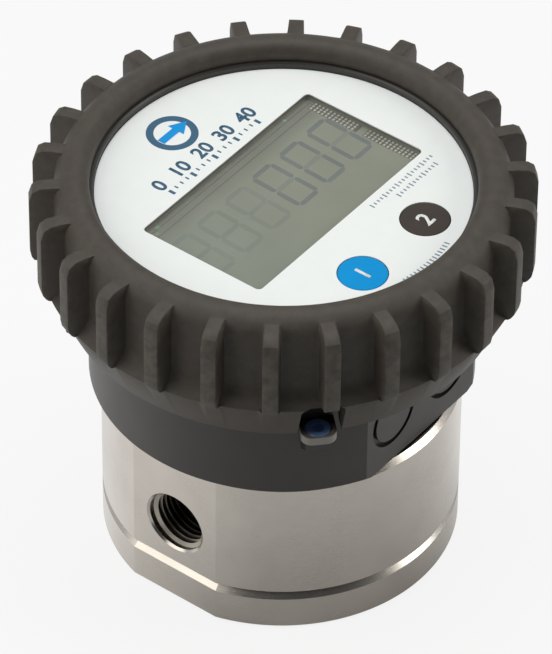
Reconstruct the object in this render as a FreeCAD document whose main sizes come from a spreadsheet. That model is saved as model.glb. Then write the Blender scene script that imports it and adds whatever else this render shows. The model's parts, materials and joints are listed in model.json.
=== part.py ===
import FreeCAD, Part
import math
import os

import Sketcher
from FreeCAD import Placement, Rotation, Vector

# Round flow meter with side ports: a steel meter body with a turbine wheel, a bottom cover,
# a battery powered register on top and a ribbed rubber boot around the register.
# Millimetres. +Z is up, z = 0 is the underside, +X is the direction of flow and the reading
# direction of the dial, and the origin is the centre of the underside.

os.makedirs("parts", exist_ok=True)
doc = FreeCAD.newDocument("flow_meter")
sheet = doc.addObject("Spreadsheet::Sheet", "Sizes")


class Length:
    """A number that carries the spreadsheet expression it comes from."""

    def __init__(self, value, text):
        self.value = value
        self.text = text

    def __add__(self, other):
        return combine(self, "+", other)

    def __radd__(self, other):
        return combine(other, "+", self)

    def __sub__(self, other):
        return combine(self, "-", other)

    def __rsub__(self, other):
        return combine(other, "-", self)

    def __mul__(self, other):
        return combine(self, "*", other)

    def __rmul__(self, other):
        return combine(other, "*", self)

    def __truediv__(self, other):
        return combine(self, "/", other)

    def __neg__(self):
        return Length(-self.value, f"-({self.text})")


def number(item):
    """The plain number in a Length or a number."""
    return item.value if isinstance(item, Length) else float(item)


def words(item):
    """The spreadsheet expression of a Length or a number."""
    return item.text if isinstance(item, Length) else repr(float(item))


def combine(left, sign, right):
    """Joins two lengths with a sign, in number and in expression."""
    a, b = number(left), number(right)
    value = {"+": a + b, "-": a - b, "*": a * b, "/": a / b if b else 0.0}[sign]
    return Length(value, f"({words(left)} {sign} {words(right)})")


sheet_rows = 0


def driving(alias, value, meaning):
    """Puts one driving dimension in the sheet and returns it as a Length."""
    global sheet_rows
    sheet_rows += 1
    sheet.set(f"A{sheet_rows}", meaning)
    sheet.set(f"B{sheet_rows}", str(value))
    sheet.setAlias(f"B{sheet_rows}", alias)
    return Length(float(value), f"Sizes.{alias}")


# ---- driving dimensions -------------------------------------------------------------------

BODY_RADIUS = driving("BodyRadius", 36, "outer radius of the steel body and bottom cover")
FLAT = driving("FlatOffset", 34.5, "distance of the two port flats from the axis")
EDGE = driving("EdgeBreak", 0.6, "small bevel on outer edges")
JOINT = driving("JointHeight", 8.9, "height of the joint between bottom cover and body")
JOINT_BEVEL = driving("JointBevel", 1.1, "bevel on both sides of that joint")
BODY_TOP = driving("BodyTop", 38.3, "top face of the steel body")
TOP_BEVEL = driving("TopBevel", 1.1, "bevel at the top of the steel body")

PORT_HEIGHT = driving("PortHeight", 20.3, "height of the port axis")
PORT_RADIUS = driving("PortRadius", 6.58, "port bore, major radius of the G 1/4 thread")
PORT_DEPTH = driving("PortDepth", 11.5, "depth of the port bore")
NOZZLE_RADIUS = driving("NozzleRadius", 2.4, "drilled passage from port to chamber")
NOZZLE_TILT = driving("NozzleTilt", 29, "angle of that passage to the flow direction")

CHAMBER_RADIUS = driving("ChamberRadius", 17, "turbine chamber")
CHAMBER_FLOOR = driving("ChamberFloor", 12, "top of the cover's pilot boss")
CHAMBER_CEILING = driving("ChamberCeiling", 28.6, "ceiling of the chamber")
BUSH_RADIUS = driving("BushRadius", 3, "bearing bushes")
SHAFT_RADIUS = driving("ShaftRadius", 1.2, "rotor shaft")
WHEEL_RADIUS = driving("WheelRadius", 15.2, "tips of the turbine blades")
WHEEL_HEIGHT = driving("WheelHeight", 10, "height of the turbine wheel")
HUB_RADIUS = driving("HubRadius", 8, "hub of the turbine wheel")
BLADES = 12

GASKET = driving("GasketThickness", 0.5, "gasket between body and register")
GASKET_RADIUS = driving("GasketRadius", 33.1, "outer edge of that gasket")
FOOT_RADIUS = driving("FootRadius", 37.6, "register base at its foot")
HOUSING_RADIUS = driving("HousingRadius", 38.4, "register housing")
HOUSING_FLAT = driving("HousingFlat", 34.2, "distance of the cable entry flat from the axis")
WALL = driving("WallThickness", 3, "wall of the register housing")
PARTING = driving("PartingHeight", 57, "joint between register base and register cover")
RIM_TOP = driving("RimTop", 85.2, "top of the register cover's rim")
RIM_INNER = driving("RimInner", 36.9, "inside of that rim")
PLATE_TOP = driving("PlateTop", 83.55, "face plate under the dial label")
PLATE_BOTTOM = driving("PlateBottom", 81.3, "underside of the face plate")
LABEL = driving("LabelThickness", 0.25, "thickness of the dial label")
WINDOW_X = driving("WindowLength", 52.3, "display window along X")
WINDOW_Y = driving("WindowWidth", 28.6, "display window along Y")
BUTTON_X = driving("ButtonSpacing", 10, "buttons left and right of the centre line")
BUTTON_Y = driving("ButtonOffset", 26.7, "buttons towards the reader")
BUTTON_RADIUS = driving("ButtonRadius", 4.9, "button caps")

LUG_TURN = driving("LugTurn", 227, "direction of the first screw lug, in degrees")
LUG_AXIS = driving("LugAxis", 41.2, "screws that hold the register cover")
LUG_REACH = driving("LugReach", 44.2, "outer end of a lug")
LUG_WIDTH = driving("LugWidth", 7, "width of a lug")
LUG_CORNER = driving("LugCorner", 2.2, "rounded corners of a lug")
LUG_HEIGHT = driving("LugHeight", 1.8, "thickness of the cover's lug")
LUGS = 4

BOARD = driving("BoardHeight", 73.4, "underside of the circuit board")
BOARD_THICKNESS = driving("BoardThickness", 1.6, "circuit board")

BOOT_INNER = driving("BootInner", 38.5, "bore of the rubber boot")
BOOT_TOP = driving("BootTop", 88.9, "crest of the boot")
BOOT_LIP = driving("BootLip", 37.7, "inner lip over the register cover's rim")
GRIP_RADIUS = driving("GripRadius", 44.7, "boot wall between the ribs")
RIB_RADIUS = driving("RibRadius", 49.5, "outer faces of the ribs")
RIB_WIDTH = driving("RibWidth", 3.2, "thickness of a rib")
RIB_FOOT = driving("RibFoot", 68.9, "lower end of the ribs")
LEDGE_RADIUS = driving("LedgeRadius", 47.8, "edge under the grip pockets")
SKIRT_RADIUS = driving("SkirtRadius", 43.3, "lower end of the boot's skirt")
SKIRT_FOOT = driving("SkirtFoot", 59.2, "lower edge of the skirt")
NOTCH_TOP = driving("NotchTop", 69.7, "top of the boot's screw notches")
RIBS = 26

# Seals, bearings, sensor and fasteners.
BUSH_FOOT = driving("BushFoot", 8, "lower end of the lower bush")
BUSH_TOP = driving("BushTop", 31, "upper end of the upper bush")
SEAL_REACH = driving("CoverSealReach", 20.5, "circle of the bottom cover's seal")
SEAL_RADIUS = driving("CoverSealSection", 0.9, "radius of that seal's section")
SENSOR_REACH = driving("SensorReach", 7, "pickup sensor beside the axis")
SENSOR_RADIUS = driving("SensorRadius", 3, "pickup sensor")
SENSOR_FOOT = driving("SensorFoot", 31.4, "floor of the sensor well")
MAGNET_REACH = driving("MagnetReach", 5.6, "circle of the rotor magnets")
MAGNET_RADIUS = driving("MagnetRadius", 1.5, "rotor magnets")
MAGNET_LENGTH = driving("MagnetLength", 3, "rotor magnets")
COVER_SCREW = driving("CoverScrew", 2.5, "shank radius of the bottom cover's screws")
COVER_SCREW_REACH = driving("CoverScrewReach", 28, "circle of those screws")
COVER_SCREW_HEAD = driving("CoverScrewHead", 5.4, "depth of their counterbores")
REGISTER_SCREW = driving("RegisterScrew", 2, "shank radius of the register's screws")
REGISTER_SCREW_REACH = driving("RegisterScrewReach", 27, "circle of those screws")
REGISTER_SCREW_FOOT = driving("RegisterScrewFoot", 30.8, "lower end of those screws")
LID_SCREW = driving("LidScrew", 1.25, "shank radius of the screws in the lugs")
LID_SCREW_HEAD = driving("LidScrewHead", 1.2, "height of their heads")
LID_HEAD_RADIUS = driving("LidHeadRadius", 2.65, "radius of their heads")
LID_SCREW_GRIP = driving("LidScrewGrip", 2.2, "thread engagement in the register base")
MAGNETS = 4
COVER_SCREWS = 6
REGISTER_SCREWS = 4

# Inside and on the register.
FLANGE_INNER = driving("FlangeInner", 30.5, "inside of the sealing flanges")
HOUSING_SEAL_REACH = driving("HousingSealReach", 32.6, "circle of the register's seal")
HOUSING_SEAL = driving("HousingSealSection", 0.75, "radius of that seal's section")
ENTRY_X = driving("EntrySpacing", 8.9, "cable entries left and right of the centre line")
ENTRY_HEIGHT = driving("EntryHeight", 50.1, "centres of the cable entries")
ENTRY_RADIUS = driving("EntryRadius", 6.75, "outer edge of a cable entry's ring groove")
ENTRY_GROOVE = driving("EntryGroove", 1.1, "width of that groove")
ENTRY_DEPTH = driving("EntryDepth", 0.9, "depth of that groove")
WINDOW_PANE = driving("WindowPane", 1.05, "thickness of the window pane")
GLASS_FOOT = driving("GlassFoot", 79.4, "underside of the display glass")
GLASS = driving("GlassThickness", 1.8, "display glass")
PILLAR_REACH = driving("PillarReach", 30, "circle of the board pillars")
BOARD_SCREW = driving("BoardScrew", 1.2, "shank radius of the board screws")
CELL_RADIUS = driving("CellRadius", 8.3, "battery cell")
CELL_LENGTH = driving("CellLength", 33, "battery cell")
CELL_Y = driving("CellOffset", 14, "battery cell behind the centre line")
PILLARS = 4

PORT_LEAD = 0.45
HOUSING_FOOT = BODY_TOP + GASKET
FLOOR_TOP = HOUSING_FOOT + WALL
BOARD_TOP = BOARD + BOARD_THICKNESS
WHEEL_FOOT = PORT_HEIGHT - WHEEL_HEIGHT / 2
WHEEL_TOP = PORT_HEIGHT + WHEEL_HEIGHT / 2

doc.recompute()

# ---- drawing and feature helpers ----------------------------------------------------------

built = []


def new_body(label):
    """A PartDesign body whose label names its file."""
    body = doc.addObject("PartDesign::Body", label)
    body.Label = label
    built.append(body)
    return body


def origin_feature(body, role):
    """One of the body's own origin planes or axes."""
    return next(item for item in body.Origin.OriginFeatures if item.Role == role)


def new_sketch(body, name, plane, lift=0, turn=0):
    """A sketch on an origin plane, lifted along its normal and turned about Z in degrees."""
    sketch = body.newObject("Sketcher::SketchObject", name)
    sketch.AttachmentSupport = [(origin_feature(body, plane), "")]
    sketch.MapMode = "FlatFace"
    axis = Vector(0, 0, 1) if plane == "XY_Plane" else Vector(0, 1, 0)
    sketch.AttachmentOffset = Placement(Vector(0, 0, number(lift)), Rotation(axis, number(turn)))
    if isinstance(lift, Length):
        sketch.setExpression(".AttachmentOffset.Base.z", lift.text)
    if isinstance(turn, Length):
        sketch.setExpression(".AttachmentOffset.Rotation.Angle", turn.text)
    return sketch


def pin_point(sketch, geometry, vertex, x, y):
    """Binds one vertex to the sheet, measured from the sketch's origin."""
    for kind, value, axis in (("DistanceX", x, -2), ("DistanceY", y, -1)):
        size = number(value)
        if abs(size) < 1e-9:
            sketch.addConstraint(Sketcher.Constraint("PointOnObject", geometry, vertex, axis))
            continue
        ends = (-1, 1, geometry, vertex) if size > 0 else (geometry, vertex, -1, 1)
        index = sketch.addConstraint(Sketcher.Constraint(kind, *ends, abs(size)))
        if isinstance(value, Length):
            text = value.text if size > 0 else f"-({value.text})"
            sketch.setExpression(f"Constraints[{index}]", text)


def arc_between(start, end, radius, side):
    """The short arc from start to end; side +1 has its centre on the left of the chord."""
    chord = end - start
    half = chord.Length / 2
    normal = Vector(-chord.y, chord.x, 0).normalize()
    middle = (start + end) / 2
    height = math.sqrt(max(radius * radius - half * half, 0))
    centre = middle + normal * height * side
    first, last = (start, end) if side > 0 else (end, start)
    circle = Part.Circle(centre, Vector(0, 0, 1), radius)
    angles = [math.atan2(point.y - centre.y, point.x - centre.x) for point in (first, last)]
    return Part.ArcOfCircle(circle, angles[0], angles[1])


def outline(sketch, corners, arcs=None):
    """Draws a closed outline. arcs maps the index of an edge to its (radius, side)."""
    arcs = arcs or {}
    count = len(corners)
    places = [Vector(number(x), number(y), 0) for x, y in corners]
    edges = []
    for i, start in enumerate(places):
        end = places[(i + 1) % count]
        if i in arcs:
            radius, side = arcs[i]
            edge = arc_between(start, end, number(radius), side)
            ends = (1, 2) if side > 0 else (2, 1)
        else:
            edge = Part.LineSegment(start, end)
            ends = (1, 2)
        edges.append((sketch.addGeometry(edge, False), ends))
    for i, (geometry, ends) in enumerate(edges):
        following, following_ends = edges[(i + 1) % count]
        sketch.addConstraint(
            Sketcher.Constraint("Coincident", geometry, ends[1], following, following_ends[0]))
        pin_point(sketch, geometry, ends[0], *corners[i])
        if i in arcs:
            radius = arcs[i][0]
            index = sketch.addConstraint(Sketcher.Constraint("Radius", geometry, number(radius)))
            if isinstance(radius, Length):
                sketch.setExpression(f"Constraints[{index}]", radius.text)


def circle(sketch, x, y, radius):
    """Draws a circle bound to the sheet."""
    centre = Vector(number(x), number(y), 0)
    index = sketch.addGeometry(Part.Circle(centre, Vector(0, 0, 1), number(radius)), False)
    pin_point(sketch, index, 3, x, y)
    constraint = sketch.addConstraint(Sketcher.Constraint("Radius", index, number(radius)))
    if isinstance(radius, Length):
        sketch.setExpression(f"Constraints[{constraint}]", radius.text)


def axis_line(sketch, start, end):
    """Adds a construction line to turn a profile about and returns its reference name."""
    ends = [Vector(number(x), number(z), 0) for x, z in (start, end)]
    line = sketch.addGeometry(Part.LineSegment(*ends), True)
    pin_point(sketch, line, 1, *start)
    pin_point(sketch, line, 2, *end)
    return "Axis0"


def rectangle(sketch, left, front, right, back):
    """Draws a rectangle from its four sides."""
    outline(sketch, [(left, front), (right, front), (right, back), (left, back)])


def feature(body, kind, name, profile=None):
    """Adds a PartDesign feature that uses a sketch."""
    item = body.newObject(f"PartDesign::{kind}", name)
    if profile is not None:
        item.Profile = profile
    return item


def set_size(item, prop, size):
    """Sets a property, bound to the sheet where the size comes from there."""
    setattr(item, prop, number(size))
    if isinstance(size, Length):
        item.setExpression(prop, size.text)


def pad(body, name, sketch, length):
    """Adds material along the sketch's normal."""
    item = feature(body, "Pad", name, sketch)
    set_size(item, "Length", length)
    return item


def centred_pad(body, name, sketch, length):
    """Adds material evenly on both sides of the sketch."""
    item = pad(body, name, sketch, length)
    item.SideType = "Symmetric"
    return item


def pocket_up(body, name, sketch, length):
    """Cuts along the sketch's normal."""
    item = feature(body, "Pocket", name, sketch)
    set_size(item, "Length", length)
    item.Reversed = True
    return item


def turned(body, kind, name, corners, arcs=None, plane="XZ_Plane"):
    """A Revolution or Groove about Z of an outline in radius and height."""
    sketch = new_sketch(body, f"{name}_profile", plane)
    outline(sketch, corners, arcs)
    item = feature(body, kind, name, sketch)
    item.ReferenceAxis = (sketch, ["V_Axis"])
    item.Angle = 360
    return item


def around(body, name, originals, count):
    """Repeats features about Z."""
    item = feature(body, "PolarPattern", name)
    item.Originals = originals
    item.Axis = (origin_feature(body, "Z_Axis"), [""])
    item.Angle = 360
    item.Occurrences = count
    body.Tip = item
    return item


def mirrored(body, name, originals, plane):
    """Mirrors features in one of the origin planes."""
    item = feature(body, "Mirrored", name)
    item.Originals = originals
    item.MirrorPlane = (origin_feature(body, plane), [""])
    body.Tip = item
    return item


def rim_edges(item, height):
    """Names of the edges of a feature that lie flat at one height."""
    doc.recompute()
    names = []
    for i, edge in enumerate(item.Shape.Edges, 1):
        box = edge.BoundBox
        if abs(box.ZMin - number(height)) < 1e-6 and abs(box.ZMax - number(height)) < 1e-6:
            names.append(f"Edge{i}")
    return names


def bevel(body, name, base, height, size):
    """Bevels the outline edges of a pad at one height."""
    item = feature(body, "Chamfer", name)
    item.Base = (base, rim_edges(base, height))
    set_size(item, "Size", size)
    body.Tip = item
    return item


def drill(body, name, radius, base, direction, length):
    """Cuts a cylinder that starts at base and runs along direction."""
    item = body.newObject("PartDesign::SubtractiveCylinder", name)
    set_size(item, "Radius", radius)
    set_size(item, "Height", length)
    item.Placement = Placement(base, Rotation(Vector(0, 0, 1), direction))
    return item


def at_angle(radius, degrees, height=0.0):
    """A point at a radius and angle about Z."""
    turn = math.radians(number(degrees))
    reach = number(radius)
    return Vector(reach * math.cos(turn), reach * math.sin(turn), number(height))


def hole_circle(body, name, radius, reach, turn, height, length, count):
    """Cuts a ring of upright holes from a height upwards."""
    sketch = new_sketch(body, f"{name}_sketch", "XY_Plane", height, turn)
    circle(sketch, reach, 0, radius)
    cut = pocket_up(body, name, sketch, length)
    return around(body, f"{name}_ring", [cut], count)


def stud_ring(label, corners, reach, turn, count, arcs=None):
    """Separate turned pieces in a ring about Z, such as screws or pillars, in one node."""
    body = new_body(label)
    sketch = new_sketch(body, f"{label}_profile", "XZ_Plane", 0, turn)
    outline(sketch, [(reach + x, z) for x, z in corners], arcs)
    low, top = corners[0][1], corners[-1][1]
    item = feature(body, "Revolution", f"{label}_turned", sketch)
    item.ReferenceAxis = (sketch, [axis_line(sketch, (reach, low), (reach, top))])
    item.Angle = 360
    around(body, f"{label}_ring", [item], count)
    return body


def two_flat_outline(sketch):
    """The round outline with two flats that body and cover share."""
    half = math.sqrt(BODY_RADIUS.value**2 - FLAT.value**2)
    half_width = Length(half, f"sqrt({BODY_RADIUS.text}^2 - {FLAT.text}^2)")
    corners = [(FLAT, half_width), (-FLAT, half_width), (-FLAT, -half_width), (FLAT, -half_width)]
    outline(sketch, corners, {0: (BODY_RADIUS, 1), 2: (BODY_RADIUS, 1)})


# ---- steel meter ---------------------------------------------------------------------------

def make_bottom_cover():
    """The bottom cover with its pilot boss, seal groove, bush seat and screw counterbores."""
    body = new_body("bottom_cover")
    sketch = new_sketch(body, "cover_outline", "XY_Plane")
    two_flat_outline(sketch)
    plate = pad(body, "cover_plate", sketch, JOINT)
    lower = bevel(body, "cover_foot_bevel", plate, 0, EDGE)
    bevel(body, "cover_joint_bevel", lower, JOINT, JOINT_BEVEL)
    boss = new_sketch(body, "cover_boss_outline", "XY_Plane", JOINT)
    circle(boss, 0, 0, CHAMBER_RADIUS - 0.05)
    pad(body, "cover_boss", boss, CHAMBER_FLOOR - JOINT)
    turned(body, "Groove", "cover_bush_seat",
           [(0, BUSH_FOOT), (BUSH_RADIUS, BUSH_FOOT), (BUSH_RADIUS, CHAMBER_FLOOR),
            (0, CHAMBER_FLOOR)])
    turned(body, "Groove", "cover_seal_groove",
           [(SEAL_REACH - SEAL_RADIUS, JOINT - SEAL_RADIUS * 2),
            (SEAL_REACH + SEAL_RADIUS, JOINT - SEAL_RADIUS * 2),
            (SEAL_REACH + SEAL_RADIUS, JOINT), (SEAL_REACH - SEAL_RADIUS, JOINT)])
    hole_circle(body, "cover_counterbore", COVER_SCREW + 1.9, COVER_SCREW_REACH, 30, 0,
                COVER_SCREW_HEAD, COVER_SCREWS)
    hole_circle(body, "cover_clearance", COVER_SCREW + 0.2, COVER_SCREW_REACH, 30, 0, JOINT,
                COVER_SCREWS)


def make_cover_screws():
    """Socket head screws, sunk in the underside, with hexagon sockets."""
    head = COVER_SCREW_HEAD - 0.2
    body = stud_ring(
        "cover_screws",
        [(0, 0.2), (COVER_SCREW + 1.7, 0.2), (COVER_SCREW + 1.7, head + 0.2),
         (COVER_SCREW, head + 0.2), (COVER_SCREW, 18.6), (0, 18.6)],
        COVER_SCREW_REACH, 30, COVER_SCREWS)
    socket = new_sketch(body, "cover_screw_socket_outline", "XY_Plane", 0.2, 30)
    across = COVER_SCREW.value * 1.15
    corners = [at_angle(across, 60 * i) for i in range(6)]
    outline(socket, [(COVER_SCREW_REACH + corner.x, corner.y) for corner in corners])
    cut = pocket_up(body, "cover_screw_socket", socket, 2.6)
    around(body, "cover_screw_sockets", [cut], COVER_SCREWS)


def make_ring_seal(label, reach, section, foot):
    """A rubber seal ring of square section that fills its groove."""
    body = new_body(label)
    inner = reach - section + 0.02
    outer = reach + section - 0.02
    top = foot + section * 2
    turned(body, "Revolution", f"{label}_ring",
           [(inner, foot), (outer, foot), (outer, top), (inner, top)])


def make_meter_body():
    """The steel body with its chamber, both ports, passages, sensor well and screw holes."""
    body = new_body("meter_body")
    sketch = new_sketch(body, "body_outline", "XY_Plane", JOINT)
    two_flat_outline(sketch)
    block = pad(body, "body_block", sketch, BODY_TOP - JOINT)
    lower = bevel(body, "body_joint_bevel", block, JOINT, JOINT_BEVEL)
    bevel(body, "body_top_bevel", lower, BODY_TOP, TOP_BEVEL)
    turned(body, "Groove", "turbine_chamber",
           [(0, JOINT), (CHAMBER_RADIUS, JOINT), (CHAMBER_RADIUS, CHAMBER_CEILING),
            (BUSH_RADIUS, CHAMBER_CEILING), (BUSH_RADIUS, BUSH_TOP), (0, BUSH_TOP)])
    port = new_sketch(body, "port_profile", "XZ_Plane")
    drill_tip = PORT_RADIUS * 0.6
    floor = -FLAT + PORT_DEPTH
    outline(port, [
        (-FLAT, PORT_HEIGHT), (-FLAT, PORT_HEIGHT + PORT_RADIUS + PORT_LEAD),
        (-FLAT + PORT_LEAD, PORT_HEIGHT + PORT_RADIUS), (floor, PORT_HEIGHT + PORT_RADIUS),
        (floor + drill_tip, PORT_HEIGHT)])
    axis = axis_line(port, (-FLAT, PORT_HEIGHT), (floor, PORT_HEIGHT))
    bore = feature(body, "Groove", "port_bore", port)
    bore.ReferenceAxis = (port, [axis])
    bore.Angle = 360
    start = Vector(-FLAT.value + PORT_DEPTH.value - 1.5, 2.2, PORT_HEIGHT.value)
    run = at_angle(1, NOZZLE_TILT)
    passage = drill(body, "port_passage", NOZZLE_RADIUS, start, run, 13)
    mirrored(body, "outlet_side", [bore, passage], "YZ_Plane")
    well = new_sketch(body, "sensor_well_outline", "XY_Plane", SENSOR_FOOT)
    circle(well, SENSOR_REACH, 0, SENSOR_RADIUS + 0.2)
    pocket_up(body, "sensor_well", well, BODY_TOP - SENSOR_FOOT)
    tapping = REGISTER_SCREW_FOOT - 0.8
    hole_circle(body, "register_tapping", REGISTER_SCREW, REGISTER_SCREW_REACH, 0, tapping,
                BODY_TOP - tapping, REGISTER_SCREWS)
    hole_circle(body, "cover_tapping", COVER_SCREW, COVER_SCREW_REACH, 30, JOINT, 11,
                COVER_SCREWS)


def make_inlet_nozzle():
    """A brass tube in the inlet passage, aimed past the hub at the blades."""
    nozzle = doc.addObject("Part::Cut", "inlet_nozzle")
    nozzle.Label = "inlet_nozzle"
    outer = doc.addObject("Part::Cylinder", "nozzle_outside")
    set_size(outer, "Radius", NOZZLE_RADIUS)
    outer.Height = 4.2
    inner = doc.addObject("Part::Cylinder", "nozzle_bore")
    set_size(inner, "Radius", NOZZLE_RADIUS * 0.6)
    inner.Height = 4.2
    run = at_angle(1, NOZZLE_TILT)
    start = Vector(-FLAT.value + PORT_DEPTH.value - 1.5, 2.2, PORT_HEIGHT.value) + run * 4
    for tube in (outer, inner):
        tube.Placement = Placement(start, Rotation(Vector(0, 0, 1), run))
    nozzle.Base = outer
    nozzle.Tool = inner
    built.append(nozzle)


def make_bushes():
    """The two flanged bushes of the rotor, each closed at its outer end."""
    lower = new_body("lower_bearing")
    turned(lower, "Revolution", "lower_bush", [
        (0, BUSH_FOOT), (BUSH_RADIUS, BUSH_FOOT), (BUSH_RADIUS, CHAMBER_FLOOR),
        (BUSH_RADIUS + 1.4, CHAMBER_FLOOR), (BUSH_RADIUS + 1.4, CHAMBER_FLOOR + 0.6),
        (SHAFT_RADIUS + 0.05, CHAMBER_FLOOR + 0.6), (SHAFT_RADIUS + 0.05, BUSH_FOOT + 0.6),
        (0, BUSH_FOOT + 0.6)])
    upper = new_body("upper_bearing")
    turned(upper, "Revolution", "upper_bush", [
        (0, BUSH_TOP), (BUSH_RADIUS, BUSH_TOP), (BUSH_RADIUS, CHAMBER_CEILING),
        (BUSH_RADIUS + 1.4, CHAMBER_CEILING), (BUSH_RADIUS + 1.4, CHAMBER_CEILING - 0.6),
        (SHAFT_RADIUS + 0.05, CHAMBER_CEILING - 0.6), (SHAFT_RADIUS + 0.05, BUSH_TOP - 0.6),
        (0, BUSH_TOP - 0.6)])


def make_rotor():
    """The shaft, the turbine wheel with curved blades and its magnets."""
    shaft = new_body("rotor_shaft")
    foot = BUSH_FOOT + 0.7
    head = BUSH_TOP - 0.7
    turned(shaft, "Revolution", "shaft", [
        (0, foot), (SHAFT_RADIUS - 0.2, foot), (SHAFT_RADIUS, foot + 0.2),
        (SHAFT_RADIUS, head - 0.2), (SHAFT_RADIUS - 0.2, head), (0, head)])

    wheel = new_body("turbine_rotor")
    sleeve = SHAFT_RADIUS + 1.4
    turned(wheel, "Revolution", "hub", [
        (SHAFT_RADIUS, CHAMBER_FLOOR + 0.9), (sleeve, CHAMBER_FLOOR + 0.9),
        (sleeve, WHEEL_FOOT), (HUB_RADIUS, WHEEL_FOOT), (HUB_RADIUS, WHEEL_TOP),
        (sleeve, WHEEL_TOP), (sleeve, CHAMBER_CEILING - 0.9),
        (SHAFT_RADIUS, CHAMBER_CEILING - 0.9)])
    blade = new_sketch(wheel, "blade_outline", "XY_Plane", WHEEL_FOOT)
    outline(blade, [
        (HUB_RADIUS - 0.5, -0.6), (WHEEL_RADIUS - 0.4, 3.0), (WHEEL_RADIUS - 1.0, 3.5),
        (HUB_RADIUS - 0.5, 1.0)], {0: (8.5, 1), 2: (7.4, -1)})
    curved = pad(wheel, "blade", blade, WHEEL_HEIGHT)
    around(wheel, "blades", [curved], BLADES)
    seats = new_sketch(wheel, "magnet_seat_outline", "XY_Plane", WHEEL_TOP - MAGNET_LENGTH)
    circle(seats, MAGNET_REACH, 0, MAGNET_RADIUS)
    cut = pocket_up(wheel, "magnet_seat", seats, MAGNET_LENGTH)
    around(wheel, "magnet_seats", [cut], MAGNETS)

    stud_ring("rotor_magnets", [
        (0, WHEEL_TOP - MAGNET_LENGTH), (MAGNET_RADIUS, WHEEL_TOP - MAGNET_LENGTH),
        (MAGNET_RADIUS, WHEEL_TOP), (0, WHEEL_TOP)], MAGNET_REACH, 0, MAGNETS)


def make_pickup_sensor():
    """The sealed sensor in its well above the chamber, with a flange on the register floor."""
    sensor = new_body("pickup_sensor")
    sketch = new_sketch(sensor, "sensor_outline", "XY_Plane", SENSOR_FOOT)
    circle(sketch, SENSOR_REACH, 0, SENSOR_RADIUS)
    pad(sensor, "sensor_barrel", sketch, FLOOR_TOP + 3.5 - SENSOR_FOOT)
    flange = new_sketch(sensor, "sensor_flange_outline", "XY_Plane", FLOOR_TOP)
    circle(flange, SENSOR_REACH, 0, SENSOR_RADIUS + 1.2)
    pad(sensor, "sensor_flange", flange, 1)


# ---- register ------------------------------------------------------------------------------

def make_base_gasket():
    """The flat gasket between the steel body and the register."""
    gasket = new_body("base_gasket")
    sketch = new_sketch(gasket, "gasket_outline", "XY_Plane", BODY_TOP)
    circle(sketch, 0, 0, GASKET_RADIUS)
    circle(sketch, 0, 0, 13)
    pad(gasket, "gasket_sheet", sketch, GASKET)
    hole_circle(gasket, "gasket_hole", REGISTER_SCREW + 0.2, REGISTER_SCREW_REACH, 0, BODY_TOP,
                GASKET, REGISTER_SCREWS)


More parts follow.
